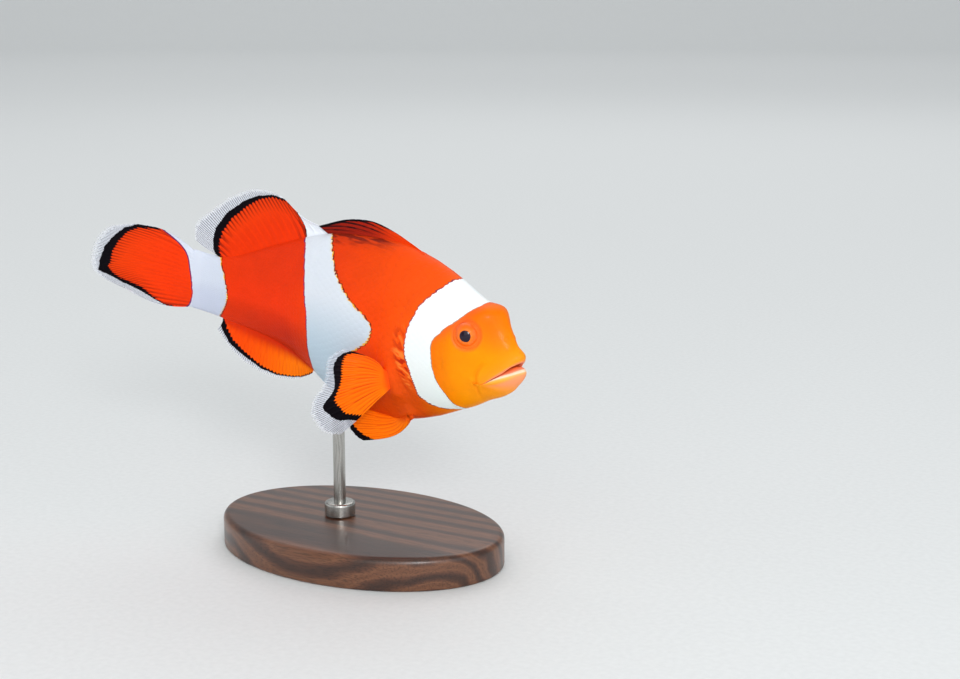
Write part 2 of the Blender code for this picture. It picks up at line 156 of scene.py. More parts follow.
# A point of the plain body at a row of the sections and a turn from the top down the right side.
def bareFlesh(row, turn):
    inner = np.clip(row, 0, lastRow)
    i = np.clip(np.floor(inner).astype(int), 0, lastRow - 1)
    t = (inner - i)[..., None]
    p, a, b, q = (sections[np.clip(i + k, 0, lastRow)] for k in (-1, 0, 1, 2))
    s = (2 * a + (b - p) * t + (2 * p - 5 * a + 4 * b - q) * t ** 2 + (3 * a - p - 3 * b + q) * t ** 3) / 2
    topBack, topUp, sideBack, sideUp, lowBack, lowUp, half, lean = np.moveaxis(s, -1, 0)
    rise, out = np.cos(turn), np.sin(turn)
    back = sideBack + (np.where(rise > 0, topBack, lowBack) - sideBack) * np.abs(rise) ** lean
    up = sideUp + (np.where(rise > 0, topUp, lowUp) - sideUp) * np.abs(rise)
    side = half * np.sign(out) * np.abs(out) ** fish["fullness"]
    for atBack, atUp, reach, pushOut, pushUp in skullSwellings:
        near = np.exp(-((back - atBack) ** 2 + (up - atUp) ** 2) / reach ** 2)
        side = side + np.sign(out) * np.minimum(1, np.abs(out) / .35) * pushOut * near
        up = up + pushUp * near
    throat = np.clip(1 + row, 0, 1)  # the gullet closes to a point
    back, side, up = sideBack + (back - sideBack) * throat, side * throat, sideUp + (up - sideUp) * throat
    taper = np.clip(row - lastRow, 0, 1)  # the stalk thins out over the tail fin
    return np.stack((back + tailTaper * taper, side * (1 - taper), up * (1 - .35 * taper ** 2)), -1)


# outward normal, and how far one row and one radian go
def fleshFrame(row, turn):
    alongRow = (bareFlesh(row + .02, turn) - bareFlesh(row - .02, turn)) / .04
    alongTurn = (bareFlesh(row, turn + .01) - bareFlesh(row, turn - .01)) / .02
    normal = np.cross(alongRow, alongTurn)
    normal /= np.maximum(np.linalg.norm(normal, axis=-1, keepdims=True), 1e-9)
    return normal, np.linalg.norm(alongRow, axis=-1), np.linalg.norm(alongTurn, axis=-1)


def mirrored(points):
    return np.stack((points[..., 0], np.abs(points[..., 1]), points[..., 2]), -1)


# distance of points to a bent line, and the share of the line where it is nearest
def nearLine(points, line):
    line = np.array(line, float)
    best, share = np.full(points.shape[:-1], 9.0), np.zeros(points.shape[:-1])
    for k, (a, b) in enumerate(zip(line[:-1], line[1:])):
        t = np.clip(((points - a) @ (b - a)) / ((b - a) @ (b - a)), 0, 1)
        gap = np.linalg.norm(points - a - t[..., None] * (b - a), axis=-1)
        nearer = gap < best
        best, share = np.where(nearer, gap, best), np.where(nearer, (k + t) / (len(line) - 1), share)
    return best, share


eye = {
    "centre": (.132, .0515, .0445),
    "radius": .033,
    "pupil": .0137,
    "point": math.radians(-55),  # where the pupil runs to its small point
    "pointLength": .12,  # in shares of the pupil's radius
    "bulge": .014, "dent": .010,  # of the cornea over the pupil and round it, in shares of the radius
    "looks": (8.1, math.radians(62)),  # row and turn of the flesh it looks out of
    "segments": 72,
    "ink": "#180820",
    "iris": ((.0, "#FF8A20"), (.10, "#FC7808"), (.45, "#FA6E06"), (.74, "#FA6810"), (.86, "#F8681C"),
             (.94, "#F2641C"), (1.0, "#E85A18")),
}
eyeCentre = np.array(eye["centre"])
eyeAxis = fleshFrame(*np.array(eye["looks"]))[0]


# distance from the axis of the eye on that side
def fromEye(points):
    offset = mirrored(points) - eyeCentre
    depth = offset @ eyeAxis
    aside = np.linalg.norm(offset - depth[..., None] * eyeAxis, axis=-1)
    return np.where(depth > 0, aside, 9.0)


skinRelief = {
    "inset": .0007,  # the skin lies this far inside the solids, under the scales
    "orbit": {"groove": (.0345, .0028, .0034), "lid": (.0288, .0034, .0010), "pit": (.0236, .0268, .020)},
    "nostril": {"at": (.044, .014, .047), "reach": .0026, "depth": .0030, "rim": .0014},
    # creases: line, depth, reach
    "creases": ( (((.074, .052, -.012), (.085, .056, -.027), (.090, .058, -.037), (.094, .059, -.049),
                   (.093, .059, -.066), (.091, .052, -.082), (.091, .035, -.104)), .0032, .0050),
                (((.092, .058, -.040), (.106, .067, -.052), (.118, .072, -.074), (.122, .067, -.094)),
                 .0007, .0060), (((.178, .083, .045), (.186, .086, .010), (.184, .084, -.035),
                                  (.166, .072, -.080), (.140, .050, -.112)), .0009, .0060), ),
    # fleshy bases of the paired fins: line, height, reach
    "bases": (
        (((.336, .084, -.082), (.332, .079, -.108), (.324, .070, -.138)), .0105, .021),
        (((.296, .044, -.197), (.318, .033, -.214), (.344, .020, -.228)), .0090, .017),
    ),
    # fleshy ridges under the fins of the back and belly: up or down, start, end, height, reach
    "ridges": ((1, .318, .930, .0050, .018), (-1, .618, .910, .0036, .014)),
    "gill": {"step": .0011, "groove": .0005},
    # height, row and reach of the lips, of the channel round them, and of two swellings where they meet
    "lips": ((.0020, 3.6, .9), (.0014, 5.55, .5), (.0030, 2.0, .9), (.0050, 2.8, .5)),
}


# how far folds, lids, lips and gill covers push the skin out
def fleshRelief(row, turn, points):
    near = mirrored(points)
    back, side, up = np.moveaxis(near, -1, 0)
    push = np.zeros(points.shape[:-1])
    aside = fromEye(points)
    orbit = skinRelief["orbit"]
    push -= orbit["groove"][2] * hump(aside, *orbit["groove"][:2])
    push += orbit["lid"][2] * hump(aside, *orbit["lid"][:2])
    push -= orbit["pit"][2] * (1 - eased(aside, *orbit["pit"][:2]))
    nostril = skinRelief["nostril"]
    hole = np.linalg.norm(near - nostril["at"], axis=-1)
    push += nostril["rim"] * hump(hole, nostril["reach"] * 1.6, nostril["reach"])
    push -= nostril["depth"] * hump(hole, 0, nostril["reach"])
    for line, depth, reach in skinRelief["creases"]:
        gap, share = nearLine(near, line)
        push -= depth * hump(gap, 0, reach) * np.sqrt(np.sin(np.pi * np.clip(share, .04, .96)))
    for line, height, reach in skinRelief["bases"]:
        push += height * hump(nearLine(near, line)[0], 0, reach)
    for toward, start, end, height, reach in skinRelief["ridges"]:
        there = eased(back, start - .02, start + .05) * (1 - eased(back, end - .04, end + .02))
        there = there * (up * toward > 0)
        push += height * hump(side, 0, reach) * there
    # the gill cover ends in a raised edge over a narrow groove
    fromTop = np.abs((turn + np.pi) % (2 * np.pi) - np.pi)
    flank = (eased(fromTop, math.radians(38), math.radians(62))
             * (1 - eased(fromTop, math.radians(128), math.radians(152))))
    gill = skinRelief["gill"]
    push += (flank * gill["step"] * eased(row, gillRow - 2, gillRow - .4)
             * (1 - eased(row, gillRow - .12, gillRow + .16)))
    push -= flank * gill["groove"] * hump(row, gillRow + .10, .24)
    # full lips that meet toward the corner of the mouth, and a shallow channel round them
    lips, high = skinRelief["lips"], np.abs(np.cos(turn))
    full, channel, *meeting = (height * hump(row, at, reach) for height, at, reach in lips)
    push += full - channel * eased(high, .3, .85)
    push += sum(meeting) * high * (1 - eased(high, .55, .85))
    push -= skinRelief["inset"]
    return push * np.clip(row + 1, 0, 1) * np.clip(lastRow + 1 - row, 0, 1)


def fleshPoint(row, turn, lift=0.0):
    bare = bareFlesh(row, turn)
    normal = fleshFrame(row, turn)[0]
    return bare + normal * (fleshRelief(row, turn, bare) + lift)[..., None]


# Edges of the white bands on the right side as back, side, up; the left side differs a little.
bands = {
    "head": {
        "front": ((.118, .000, .121), (.121, .026, .114), (.137, .048, .103), (.151, .063, .084),
                  (.167, .074, .067), (.183, .080, .054), (.194, .084, .039), (.208, .089, .023),
                  (.214, .091, .009), (.213, .091, -.008), (.208, .089, -.039), (.204, .086, -.059),
                  (.197, .081, -.079), (.187, .073, -.099), (.175, .063, -.116), (.167, .049, -.133),
                  (.160, .036, -.144), (.152, .024, -.150), (.147, .000, -.156)),
        "rear": ((.205, .000, .158), (.220, .036, .146), (.233, .053, .129), (.251, .068, .109),
                 (.265, .079, .091), (.274, .088, .069), (.281, .093, .048), (.287, .097, .022),
                 (.289, .099, -.004), (.288, .098, -.027), (.283, .096, -.046), (.276, .093, -.063),
                 (.268, .087, -.088), (.259, .078, -.114), (.252, .068, -.136), (.233, .057, -.149),
                 (.213, .047, -.158), (.190, .035, -.162), (.168, .022, -.162), (.155, .000, -.162)),
    },
    "mid": {
        "front": ((.594, .000, .199), (.575, .029, .182), (.559, .046, .160), (.544, .059, .136),
                  (.530, .067, .115), (.507, .076, .093), (.484, .082, .071), (.456, .088, .052),
                  (.434, .091, .041), (.414, .093, .029), (.400, .095, .017), (.397, .095, .000),
                  (.407, .094, -.027), (.428, .091, -.046), (.452, .087, -.062), (.480, .078, -.098),
                  (.505, .058, -.152), (.524, .030, -.200), (.530, .000, -.214)),
        "rear": ((.677, .000, .175), (.654, .031, .154), (.636, .054, .104), (.627, .063, .065),
                 (.618, .068, .025), (.610, .069, -.016), (.609, .064, -.058), (.609, .057, -.087),
                 (.606, .044, -.122), (.603, .018, -.162), (.600, .000, -.176)),
    },
    "tail": {
        "front": ((.930, .000, .088), (.922, .007, .084), (.911, .018, .065), (.897, .024, .035),
                  (.887, .026, -.004), (.889, .024, -.030), (.900, .018, -.054), (.914, .007, -.075),
                  (.918, .000, -.079)),
        "rear": ((1.092, .000, .136), (1.062, .000, .118), (1.034, .000, .098), (1.015, .007, .077),
                 (1.003, .013, .041), (.995, .015, .002), (.994, .012, -.032), (1.006, .004, -.061),
                 (1.013, .001, -.067)),
    },
}


def girthAngle(back, side, up):
    return np.arctan2(np.abs(side), up - smooth(bodyLines["middle"], back))


# Millimetres behind an edge of a band, less than zero in front of it. The edges of the head and middle band
# run with the angle round the body, those of the tail band with the height, so that they cross onto the fin.
def behindEdge(band, edge, back, side, up):
    line = np.array(bands[band][edge])
    middle = smooth(bodyLines["middle"], line[:, 0])
    angle = girthAngle(back, side, up)
    if band == "tail":
        here, knots, radius = -up, -line[:, 2], np.ones(len(line))
    else:
        here, knots, radius = angle, girthAngle(*line.T), np.hypot(line[:, 1], line[:, 2] - middle)
    fine = np.linspace(knots[0], knots[-1], 240)
    backs = smooth(np.stack((knots, line[:, 0]), -1), fine)
    straight = smooth(np.stack((knots, radius), -1), fine)
    steep = np.interp(here, fine, straight / np.hypot(np.gradient(backs, fine), straight))
    # the left side differs a little
    shift = np.where(side < 0, .005 * np.sin(3 * angle + len(band)) * np.sin(angle), 0)
    return (back - shift - np.interp(here, fine, backs)) * steep * millimetres


def fleshMarks(row, turn, points):
    back, side, up = np.moveaxis(points, -1, 0)
    marks = {band + edge.title(): behindEdge(band, edge, back, side, up)
             for band in bands for edge in bands[band]}
    angle = girthAngle(back, side, up)
    marks["bodyBack"] = back
    marks["girth"] = angle / np.pi
    marks["around"] = angle * np.hypot(side, up - smooth(bodyLines["middle"], back)) * millimetres
    marks["lipRow"] = np.clip(row, 0, 8) / 8
    marks["lower"] = .5 - .5 * np.cos(turn)
    marks["eyeRing"] = np.clip(fromEye(points) * millimetres, 0, 6)
    below = smooth(bodyLines["back"], back) - up
    # where the front fin shades the upper flank, for the painted shade there
    marks["finFold"] = (eased(below, .026, .006) * (1 + 1.2 * eased(below, .004, -.003))
                        * eased(back, .36, .48) * (1 - eased(back, .604, .616)))
    fold, _, reach = skinRelief["creases"][0]
    # the fold behind the mouth and its crest, for painted shade and a painted highlight
    for name, ahead in (("cheekFold", 0), ("cheekCrest", .0085)):
        gap, share = nearLine(mirrored(points), np.array(fold) - (ahead, 0, 0))
        marks[name] = hump(gap, 0, reach * .75) * np.sin(np.pi * share)
    behind = marks["headRear"]
    marks["streaks"] = (eased(behind, .0, .5) * (1 - eased(behind, 1.5, 3.3)) * eased(angle / np.pi, .34, .44)
                        * (1 - eased(angle / np.pi, .76, .84)))
    return marks


def hexColour(text):
    parts = [int(text[i:i + 2], 16) / 255 for i in (1, 3, 5)]
    return (*(c / 12.92 if c <= .04045 else ((c + .055) / 1.055) ** 2.4 for c in parts), 1.0)


smoothly = {"interpolation_type": "SMOOTHSTEP"}
times = {"operation": "MULTIPLY"}


# Sets sockets by place or name: a hex colour, a plain value, or a link from a node or socket.
def plugInto(node, inputs):
    for key, value in inputs.items():
        value = hexColour(value) if isinstance(value, str) else value
        value = value.outputs[0] if isinstance(value, bpy.types.Node) else value
        if isinstance(value, bpy.types.NodeSocket):
            node.id_data.links.new(value, node.inputs[key])
        elif value is not None:
            node.inputs[key].default_value = value


# Inputs come in their order, or by name with a capital; names in small letters are settings of the node.
def addNode(tree, kind, *inputs, stops=None, **named):
    made = tree.nodes.new("ShaderNode" + kind)
    for name, value in named.items():
        if name[0].islower():
            setattr(made, name, value)
    plugInto(made, dict(enumerate(inputs)))
    plugInto(made, {name.replace("_", " "): value for name, value in named.items() if name[0].isupper()})
    if stops:
        ramp = made.color_ramp
        while len(ramp.elements) < len(stops):
            ramp.elements.new(.5)
        for element, (position, colour) in zip(ramp.elements, stops):
            element.position, element.color = position, hexColour(colour)
    return made


def startMaterial(name, **constants):
    made = bpy.data.materials.new(name)
    made.use_nodes = True
    made.node_tree.nodes.clear()
    add = functools.partial(addNode, made.node_tree)
    shader = add("BsdfPrincipled", **constants)
    add("OutputMaterial", Surface=shader)
    return made, add, shader


# Colours along the body, at the back, on the flank and on the belly: yellow orange face to red orange tail.
# The darker belly tones and part of the deeper red toward the tail are painted shade; the rest is the fish's
# own colour.
bodyLook = {
    "top": ((.0, "#FC9000"), (.08, "#FA7202"), (.15, "#F8640A"), (.24, "#F65410"), (.45, "#EE4408"),
            (.65, "#E63408"), (.9, "#E63406"), (1.0, "#EC3808")),
    "side": ((.0, "#FC9600"), (.11, "#FB9300"), (.16, "#FA8900"), (.21, "#FB7404"), (.29, "#FC560A"),
             (.38, "#FA4804"), (.55, "#F84004"), (.70, "#F23606"), (.85, "#F03506"), (1.0, "#F43A08")),
    # belly tones: partly the fish's own colour, partly painted shade of the underside
    "low": ((.0, "#FF9C2A"), (.13, "#FF9600"), (.19, "#FF7E04"), (.26, "#E0500C"), (.38, "#D44206"),
            (.55, "#DE3C04"), (.68, "#CE2804"), (.85, "#DC3004"), (1.0, "#EA3606")),
}


def bodyColour(add, place, marks):
    tones = {name: add("ValToRGB", marks["bodyBack"], stops=stops) for name, stops in bodyLook.items()}
    up = add("MapRange", marks["girth"], .40, .10, **smoothly)
    # toward the belly the darker low tones take over: partly painted shade of the underside
    down = add("MapRange", marks["girth"], .60, .90, **smoothly)
    colour = add("MixRGB", up, tones["side"], tones["top"])
    colour = add("MixRGB", down, colour, tones["low"])
    # slight mottling, 4 mm and 0.5 mm across
    for scale, low, high in ((240, .95, 1.03), (2000, .97, 1.02)):
        mottle = add("TexNoise", Vector=place, Scale=scale, Detail=3.0)
        shade = add("MapRange", mottle, .3, .7, low, high)
        colour = add("MixRGB", 1.0, colour, shade, blend_type="MULTIPLY")
    return colour


# Live fish skin under a film of slime: satin, with a faint wide highlight and a little light passing under
# the surface. Scales barely show; the bands have sharp, finely toothed edges.
fleshLook = {
    # white of each band at the top and toward the belly: the deeper, bluer white toward the belly is painted
    # shade, and the greyer white of the middle band is partly painted shade
    "white": {"head": ("#F7FAFB", "#EEF6F4"), "mid": ("#E0E5ED", "#BFD3E1"), "tail": ("#D2D8E6", "#C8CEE0")},
    "edges": {  # colour above and below, half width, teeth and wobble in mm
        "headFront": ("#7A8C74", "#33241A", .09, .05, .12), "headRear": ("#2A2850", "#2A2040", .12, .14, .10),
        "midFront": ("#2A0C08", "#2A0C08", .15, .22, .30), "midRear": ("#2A2070", "#241C50", .15, .07, .14),
        "tailFront": ("#1A0A10", "#1A0A10", .13, .18, .20), "tailRear": ("#241C66", "#241C66", .15, .05, .18),
    },
    "toothRun": .82,  # millimetres from one tooth of an edge to the next
    "cream": "#FFBE34",
    # painted shade under the front fin
    "fold": "#84200E",
    # painted shade in the fold behind the mouth, then a painted highlight on the crest in front of it
    "cheekFold": "#F47400",
    "cheekCrest": "#FFB41C",
    "eyeRing": "#F8642A",
    "brow": "#FA6428",
    "chin": "#FA9A70",
    "streaks": ("#C42804", "#FF9038"),
    "upperLip": ((.0, "#F07A20"), (.10, "#F07C28"), (.20, "#F07C40"), (.27, "#F48660"), (.36, "#FF9468"),
                 (.43, "#FC9820"), (.74, "#FC9600")),
    # the pale stops from .335 to .383 are a painted wet highlight along the lower lip's crest
    "lowerLipAndHighlight": ((.0, "#F07A20"), (.10, "#F47E34"), (.20, "#F6824A"), (.27, "#F68860"), (.315, "#F89674"),
                 (.335, "#FFD0B0"), (.383, "#FFDCC0"), (.415, "#FDBE66"), (.46, "#FDB244"),
                 (.54, "#FDA234"), (.62, "#FC9C1C"), (.80, "#FC9600")),
}


# a thin line where the distance in mm is near the given one
def thinLine(add, distance, at, half, core, strength=1.0):
    away = add("Math", distance, at, operation="SUBTRACT")
    away = add("Math", away, operation="ABSOLUTE")
    return add("MapRange", away, half, core, 0.0, strength, **smoothly)


# noise stretched along slanting lines, in real size
def slantingNoise(add, place, slant, stretch, scale):
    turned = add("Mapping", Vector=place, Rotation=(0, slant, 0), Scale=(stretch, 1.0, 1.0),
                 vector_type="TEXTURE")
    return add("TexNoise", Vector=turned, Scale=scale, Detail=1.0)


def makeFleshMaterial():
    made, add, shader = startMaterial(
        "satin_fish_skin", Roughness=.45, Specular_IOR_Level=.06, Coat_Weight=.05, Coat_Roughness=.16,
        Subsurface_Weight=.05, Subsurface_Scale=.0010, Subsurface_Radius=(1.0, .35, .15))
    place = add("TexCoord").outputs["Object"]
    names = [band + edge.title() for band in bands for edge in bands[band]]
    names += ["bodyBack", "girth", "around", "lipRow", "lower", "eyeRing", "streaks", "finFold", "cheekFold",
              "cheekCrest"]
    marks = {name: add("Attribute", attribute_name=name).outputs["Fac"] for name in names}
    look, girth, lipRow = fleshLook, marks["girth"], marks["lipRow"]
    colour = bodyColour(add, place, marks)
    # redder round the eye and along the brow in front of the head band
    ring = add("MapRange", marks["eyeRing"], 3.2, 2.3, 0.0, .65, **smoothly)
    brow = add("MapRange", marks["headFront"], -1.8, 0.0, 0.0, .75, **smoothly)
    above = add("MapRange", girth, .50, .28, **smoothly)
    ahead = add("MapRange", marks["headRear"], -.4, -1.2)
    for limit in (above, ahead):
        brow = add("Math", brow, limit, **times)
    # painted shade under the front fin: dark streaks 0.4 mm wide, falling toward the head, like folds in the
    # fin's shadow
    foldShade = add("MapRange", slantingNoise(add, place, .30, 7.0, 1150), .42, .56, .25, .95)
    foldShade = add("Math", foldShade, marks["finFold"], **times)
    layers = [(ring, look["eyeRing"]), (brow, look["brow"]), (foldShade, look["fold"])]
    # short darker and paler streaks behind the head band, 0.35 mm wide, steeper on the upper flank
    for slant, start, end, strength in ((1.25, .58, .52, .55), (.50, .52, .58, 1.0)):
        dashes = slantingNoise(add, place, slant, 3.4, 1250)
        here = add("MapRange", girth, start, end, 0.0, strength)
        here = add("Math", here, marks["streaks"], **times)
        for tint, low, high, most in zip(look["streaks"], (.52, .45), (.58, .38), (1.0, .75)):
            dash = add("MapRange", dashes, low, high, 0.0, most, **smoothly)
            layers.append((add("Math", dash, here, **times), tint))
    for mask, tint in layers:
        colour = add("MixRGB", mask, colour, tint)
    # lips and the inside of the mouth, with a paler chin and a painted wet highlight along the crest of the
    # lower lip
    below = add("MapRange", marks["lower"], .44, .56, **smoothly)
    upper, lower = (add("ValToRGB", lipRow, stops=look[name]) for name in ("upperLip", "lowerLipAndHighlight"))
    lips = add("MixRGB", below, upper, lower)
    start = add("MapRange", lipRow, .46, .66, .84, .68)
    end = add("Math", start, .15, operation="ADD")
    chin = add("MapRange", marks["lower"], start, end, 0.0, .85, **smoothly)
    front = add("MapRange", lipRow, .38, .46, **smoothly)
    chin = add("Math", chin, front, **times)
    lips = add("MixRGB", chin, lips, look["chin"])
    lipEnd = add("MapRange", lipRow, .56, .82, **smoothly)
    colour = add("MixRGB", lipEnd, lips, colour)
    # painted shade: deeper orange in the fold behind the mouth; painted highlight: paler along the crest in
    # front of it
    for name, most in (("cheekCrest", .55), ("cheekFold", .85)):
        colour = add("MixRGB", add("Math", marks[name], most, **times), colour, look[name])
    # edges of the bands: regular teeth along the edge, and a slow wobble
    slow = add("TexNoise", Vector=place, Scale=900, Detail=2.0)
    run = add("Math", marks["around"], 2 * math.pi / look["toothRun"], **times)
    run = add("Math", slow, 16.0, run, operation="MULTIPLY_ADD")
    tooth = add("Math", run, operation="SINE")
    edges = {}
    for name, (_, _, _, teeth, wobble) in look["edges"].items():
        sway = add("MapRange", slow, .3, .7, -wobble / 2, wobble / 2, clamp=False)
        bite = add("Math", tooth, teeth / 2, sway, operation="MULTIPLY_ADD")
        edges[name] = add("Math", marks[name], bite, operation="ADD")
    # painted shade: the white of each band turns deeper and bluer toward the belly
    low = add("MapRange", girth, .30, .80)
    for band, (high, whiteInShade) in look["white"].items():
        front = add("MapRange", edges[band + "Front"], -.05, .05, **smoothly)
        rear = add("MapRange", edges[band + "Rear"], .05, -.05, **smoothly)
        both = add("Math", front, rear, **times)
        colour = add("MixRGB", both, colour, add("MixRGB", low, high, whiteInShade))
    # broken cream line inside the front edges of the middle and tail band
    patch = add("MapRange", slow, .40, .54, .25, 1.0)
    for name in ("midFront", "tailFront"):
        near = add("Math", thinLine(add, edges[name], .07, .15, .07), patch, **times)
        colour = add("MixRGB", near, colour, look["cream"])
    # thin dark line outside every edge, fainter in places
    broken = add("MapRange", slow, .42, .60, 1.0, .45)
    under = add("MapRange", girth, .62, .74)
    for name, (ink, lowInk, half, _, _) in look["edges"].items():
        toward = half * .8 if name.endswith("Rear") else -half * .8
        line = thinLine(add, edges[name], toward, half, half * .4, .92)
        line = add("Math", line, broken, **times)
        colour = add("MixRGB", line, colour, add("MixRGB", under, ink, lowInk))
    # fine grain of the slime and skin, about 0.15 mm
    grain = add("TexNoise", Vector=place, Scale=6500, Detail=2.0)
    broad = add("TexNoise", Vector=place, Scale=700, Detail=2.0)
    bump = add("Bump", Height=add("MixRGB", .4, grain, broad), Strength=.10, Distance=.00010)
    plugInto(shader, {"Base Color": colour, "Normal": bump})
    return made


def finishPiece(piece, material, slot, *nodes):
    piece.data.materials.clear()
    piece.data.materials.append(material)
    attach(piece, "root")
    if nodes:
        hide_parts(*nodes)
    return piece


def meshPiece(name, bm):
    mesh = bpy.data.meshes.new(name)
    bm.to_mesh(mesh)
    bm.free()
    mesh.shade_smooth()
    piece = bpy.data.objects.new(name, mesh)
    bpy.context.scene.collection.objects.link(piece)
    return piece


def placesOf(mesh):
    flat = np.empty(len(mesh.vertices) * 3)
    mesh.vertices.foreach_get("co", flat)
    return flat.reshape(-1, 3)


def reshape(mesh, points, marks):
    mesh.vertices.foreach_set("co", np.ascontiguousarray(points, np.float32).ravel())
    for mark, values in marks.items():
        values = np.ascontiguousarray(values, np.float32).ravel()
        mesh.attributes.new(mark, "FLOAT", "POINT").data.foreach_set("value", values)


def faceOutward(mesh, merge=False):
    bm = bmesh.new()
    bm.from_mesh(mesh)
    if merge:
        bmesh.ops.remove_doubles(bm, verts=bm.verts[:], dist=2e-7)
    bmesh.ops.recalc_face_normals(bm, faces=bm.faces[:])
    bm.to_mesh(mesh)
    bm.free()
    mesh.shade_smooth()


# a grid whose points are moved by shape(u, v), which gives places and marks
def gridPiece(name, columns, rows, shape, closed=False):
    bm = bmesh.new()
    bmesh.ops.create_grid(bm, x_segments=columns, y_segments=rows, size=.5)
    piece = meshPiece(name, bm)
    reshape(piece.data, *shape(*(placesOf(piece.data)[:, :2] + .5).T))
    if closed:
        faceOutward(piece.data, merge=True)
    piece.data.update()
    return piece


skin = {
    # steps of the mesh between each row of sections and the next, from the closed gullet to the tail
    "steps": [3, 4, 6, 8, 8, 9, 11, 14, 18, 18, 12, 9, 9, 14, 14] + [7] * 15 + [8],
    "around": 248,
}


def makeSkin(material):
    rowTable = np.concatenate([np.linspace(k - 1, k, n, endpoint=False) for k, n in enumerate(skin["steps"])]
                              + [[float(lastRow + 1)]])
    count = len(rowTable) - 1
    turns = np.linspace(-np.pi, np.pi, 4001)
    density = 1 + 1.5 * np.exp(-((np.abs(turns) - math.radians(60)) / math.radians(26)) ** 2)
    share = np.concatenate(([0], np.cumsum((density[:-1] + density[1:]) / 2)))
    share /= share[-1]

    def shape(u, v):
        row = rowTable[np.rint(u * count).astype(int)]
        turn = np.interp(v, share, turns)
        points = fleshPoint(row, turn)
        return placed(*np.moveaxis(points, -1, 0)), fleshMarks(row, turn, points)

    piece = gridPiece("fish_skin", count, skin["around"], shape, closed=True)
    return finishPiece(piece, material, "skin", "head", "trunk", "trunk_rear", "tail_stalk")


coat = {
    "firstRow": 9.6, "lastRow": 29.2,
    "around": 54,  # scales round the body
    "closeness": .74,  # distance from ring to ring as a share of the spacing round the body
    "reach": .66,  # half length of a scale as a share of that spacing
    "lift": .00019,  # height of the free edge, in shares of the length: 0.013 mm
    "narrow": .92,  # width of a scale as a share of its length
    "top": .74,  # its upper face as a share of the lower
    "clearOfEye": .050, "clearOfSnout": .125,  # no scales nearer than this, in shares of the length
    "segments": 12,
    "patch": .0015,  # size of one scale on the bake map
}


# A scale is a thin closed disc of 48 triangles, rising to its free edge.
def makeScales(material):
    roots, row, ringNumber = [], coat["firstRow"], 0
    turns = np.linspace(0, 2 * np.pi, 241)
    while row < coat["lastRow"]:
        ring = bareFlesh(np.full(241, row), turns)
        travel = np.concatenate(([0], np.cumsum(np.linalg.norm(np.diff(ring, axis=0), axis=-1))))
        spacing = travel[-1] / coat["around"]
        for k in range(coat["around"]):
            share = (k + .25 + .5 * (ringNumber % 2)) / coat["around"] % 1
            turn = float(np.interp(share, travel / travel[-1], turns))
            roots.append((row, turn, spacing, ringNumber + 1, (k + .5) / coat["around"]))
        row += coat["closeness"] * spacing / float(fleshFrame(np.array(row), np.array(np.pi / 2))[1])
        ringNumber += 1
    roots = np.array(roots)
    roots[:, 3] /= ringNumber + 2
    at = bareFlesh(roots[:, 0], roots[:, 1])
    roots = roots[(fromEye(at) > coat["clearOfEye"]) & (at[:, 0] > coat["clearOfSnout"])]
    for side, keep in (("right", roots[:, 1] < np.pi), ("left", roots[:, 1] >= np.pi)):
        chosen = roots[keep]
        bm = bmesh.new()
        bmesh.ops.create_cone(bm, cap_ends=True, cap_tris=True, segments=coat["segments"], radius1=1,
                              radius2=coat["top"], depth=1)
        template = meshPiece("scales_" + side, bm)
        each = len(template.data.vertices)
        array = template.modifiers.new("rows", "ARRAY")
        array.count = len(chosen)
        array.use_relative_offset = False
        array.use_constant_offset = True
        array.constant_offset_displace = (4, 0, 0)
        bpy.context.view_layer.update()
        evaluated = template.evaluated_get(bpy.context.evaluated_depsgraph_get())
        mesh = bpy.data.meshes.new_from_object(evaluated)
        template.modifiers.clear()
        template.data = mesh
        local = placesOf(mesh).reshape(len(chosen), each, 3)
        local[:, :, 0] -= 4 * np.arange(len(chosen))[:, None]
        row, turn, spacing = (np.repeat(chosen[:, k:k + 1], each, 1) for k in (0, 1, 2))
        x, y, top = local[:, :, 0], local[:, :, 1], local[:, :, 2] > 0
        turnRun = fleshFrame(row, turn)[2]
        rowRun = np.max([fleshFrame(row + ahead, turn)[1] for ahead in (-.5, 0, .5)], 0)
        onRow = row + x * coat["reach"] * spacing / rowRun
        onTurn = turn + y * coat["reach"] * spacing * coat["narrow"] / turnRun
        small = eased(chosen[:, 0], 9.5, 13.5)[:, None] * .6 + .4  # lower on the face
        rising = .25 + .75 * (x + 1) / 2
        lift = np.where(top, coat["lift"] * rising * small, -coat["lift"] * 1.2)
        points = fleshPoint(onRow, onTurn, lift)
        reshape(mesh, placed(*np.moveaxis(points, -1, 0)), fleshMarks(onRow, onTurn, points))
        corner = np.empty(len(mesh.loops), int)
        mesh.loops.foreach_get("vertex_index", corner)
        unwrapped = np.stack((chosen[:, 3:4] + x * coat["patch"], chosen[:, 4:5] + y * coat["patch"]), -1)
        unwrapped = unwrapped.reshape(-1, 2)[corner].astype(np.float32)
        mesh.uv_layers.new(name="OFBake").data.foreach_set("uv", unwrapped.ravel())
        faceOutward(mesh)
        print("scales", side, len(chosen), "triangles", len(mesh.polygons))
        finishPiece(template, material, "skin")


# Wet cornea over the iris: glossy film, violet black pupil with a small point to the front and below.
def makeEyeMaterial():
    made, add, shader = startMaterial("wet_cornea", Roughness=.35, Specular_IOR_Level=.05, Coat_Weight=.80,
                                      Coat_Roughness=.10, Coat_IOR=1.45)
    place = add("TexCoord").outputs["Object"]
    edge = add("Attribute", attribute_name="pupilEdge").outputs["Fac"]
    fleck = add("TexNoise", Vector=place, Scale=2600, Detail=3.0)
    shift = add("MapRange", fleck, None, None, -.10, .10)
    moved = add("Math", edge, shift, operation="ADD")
    share = add("MapRange", moved, -.1, 1.2)
    iris = add("ValToRGB", share, stops=eye["iris"])
    crisp = add("MapRange", edge, -.03, .04, **smoothly)
    colour = add("MixRGB", crisp, eye["ink"], iris)
    plugInto(shader, {"Base Color": colour})
    return made


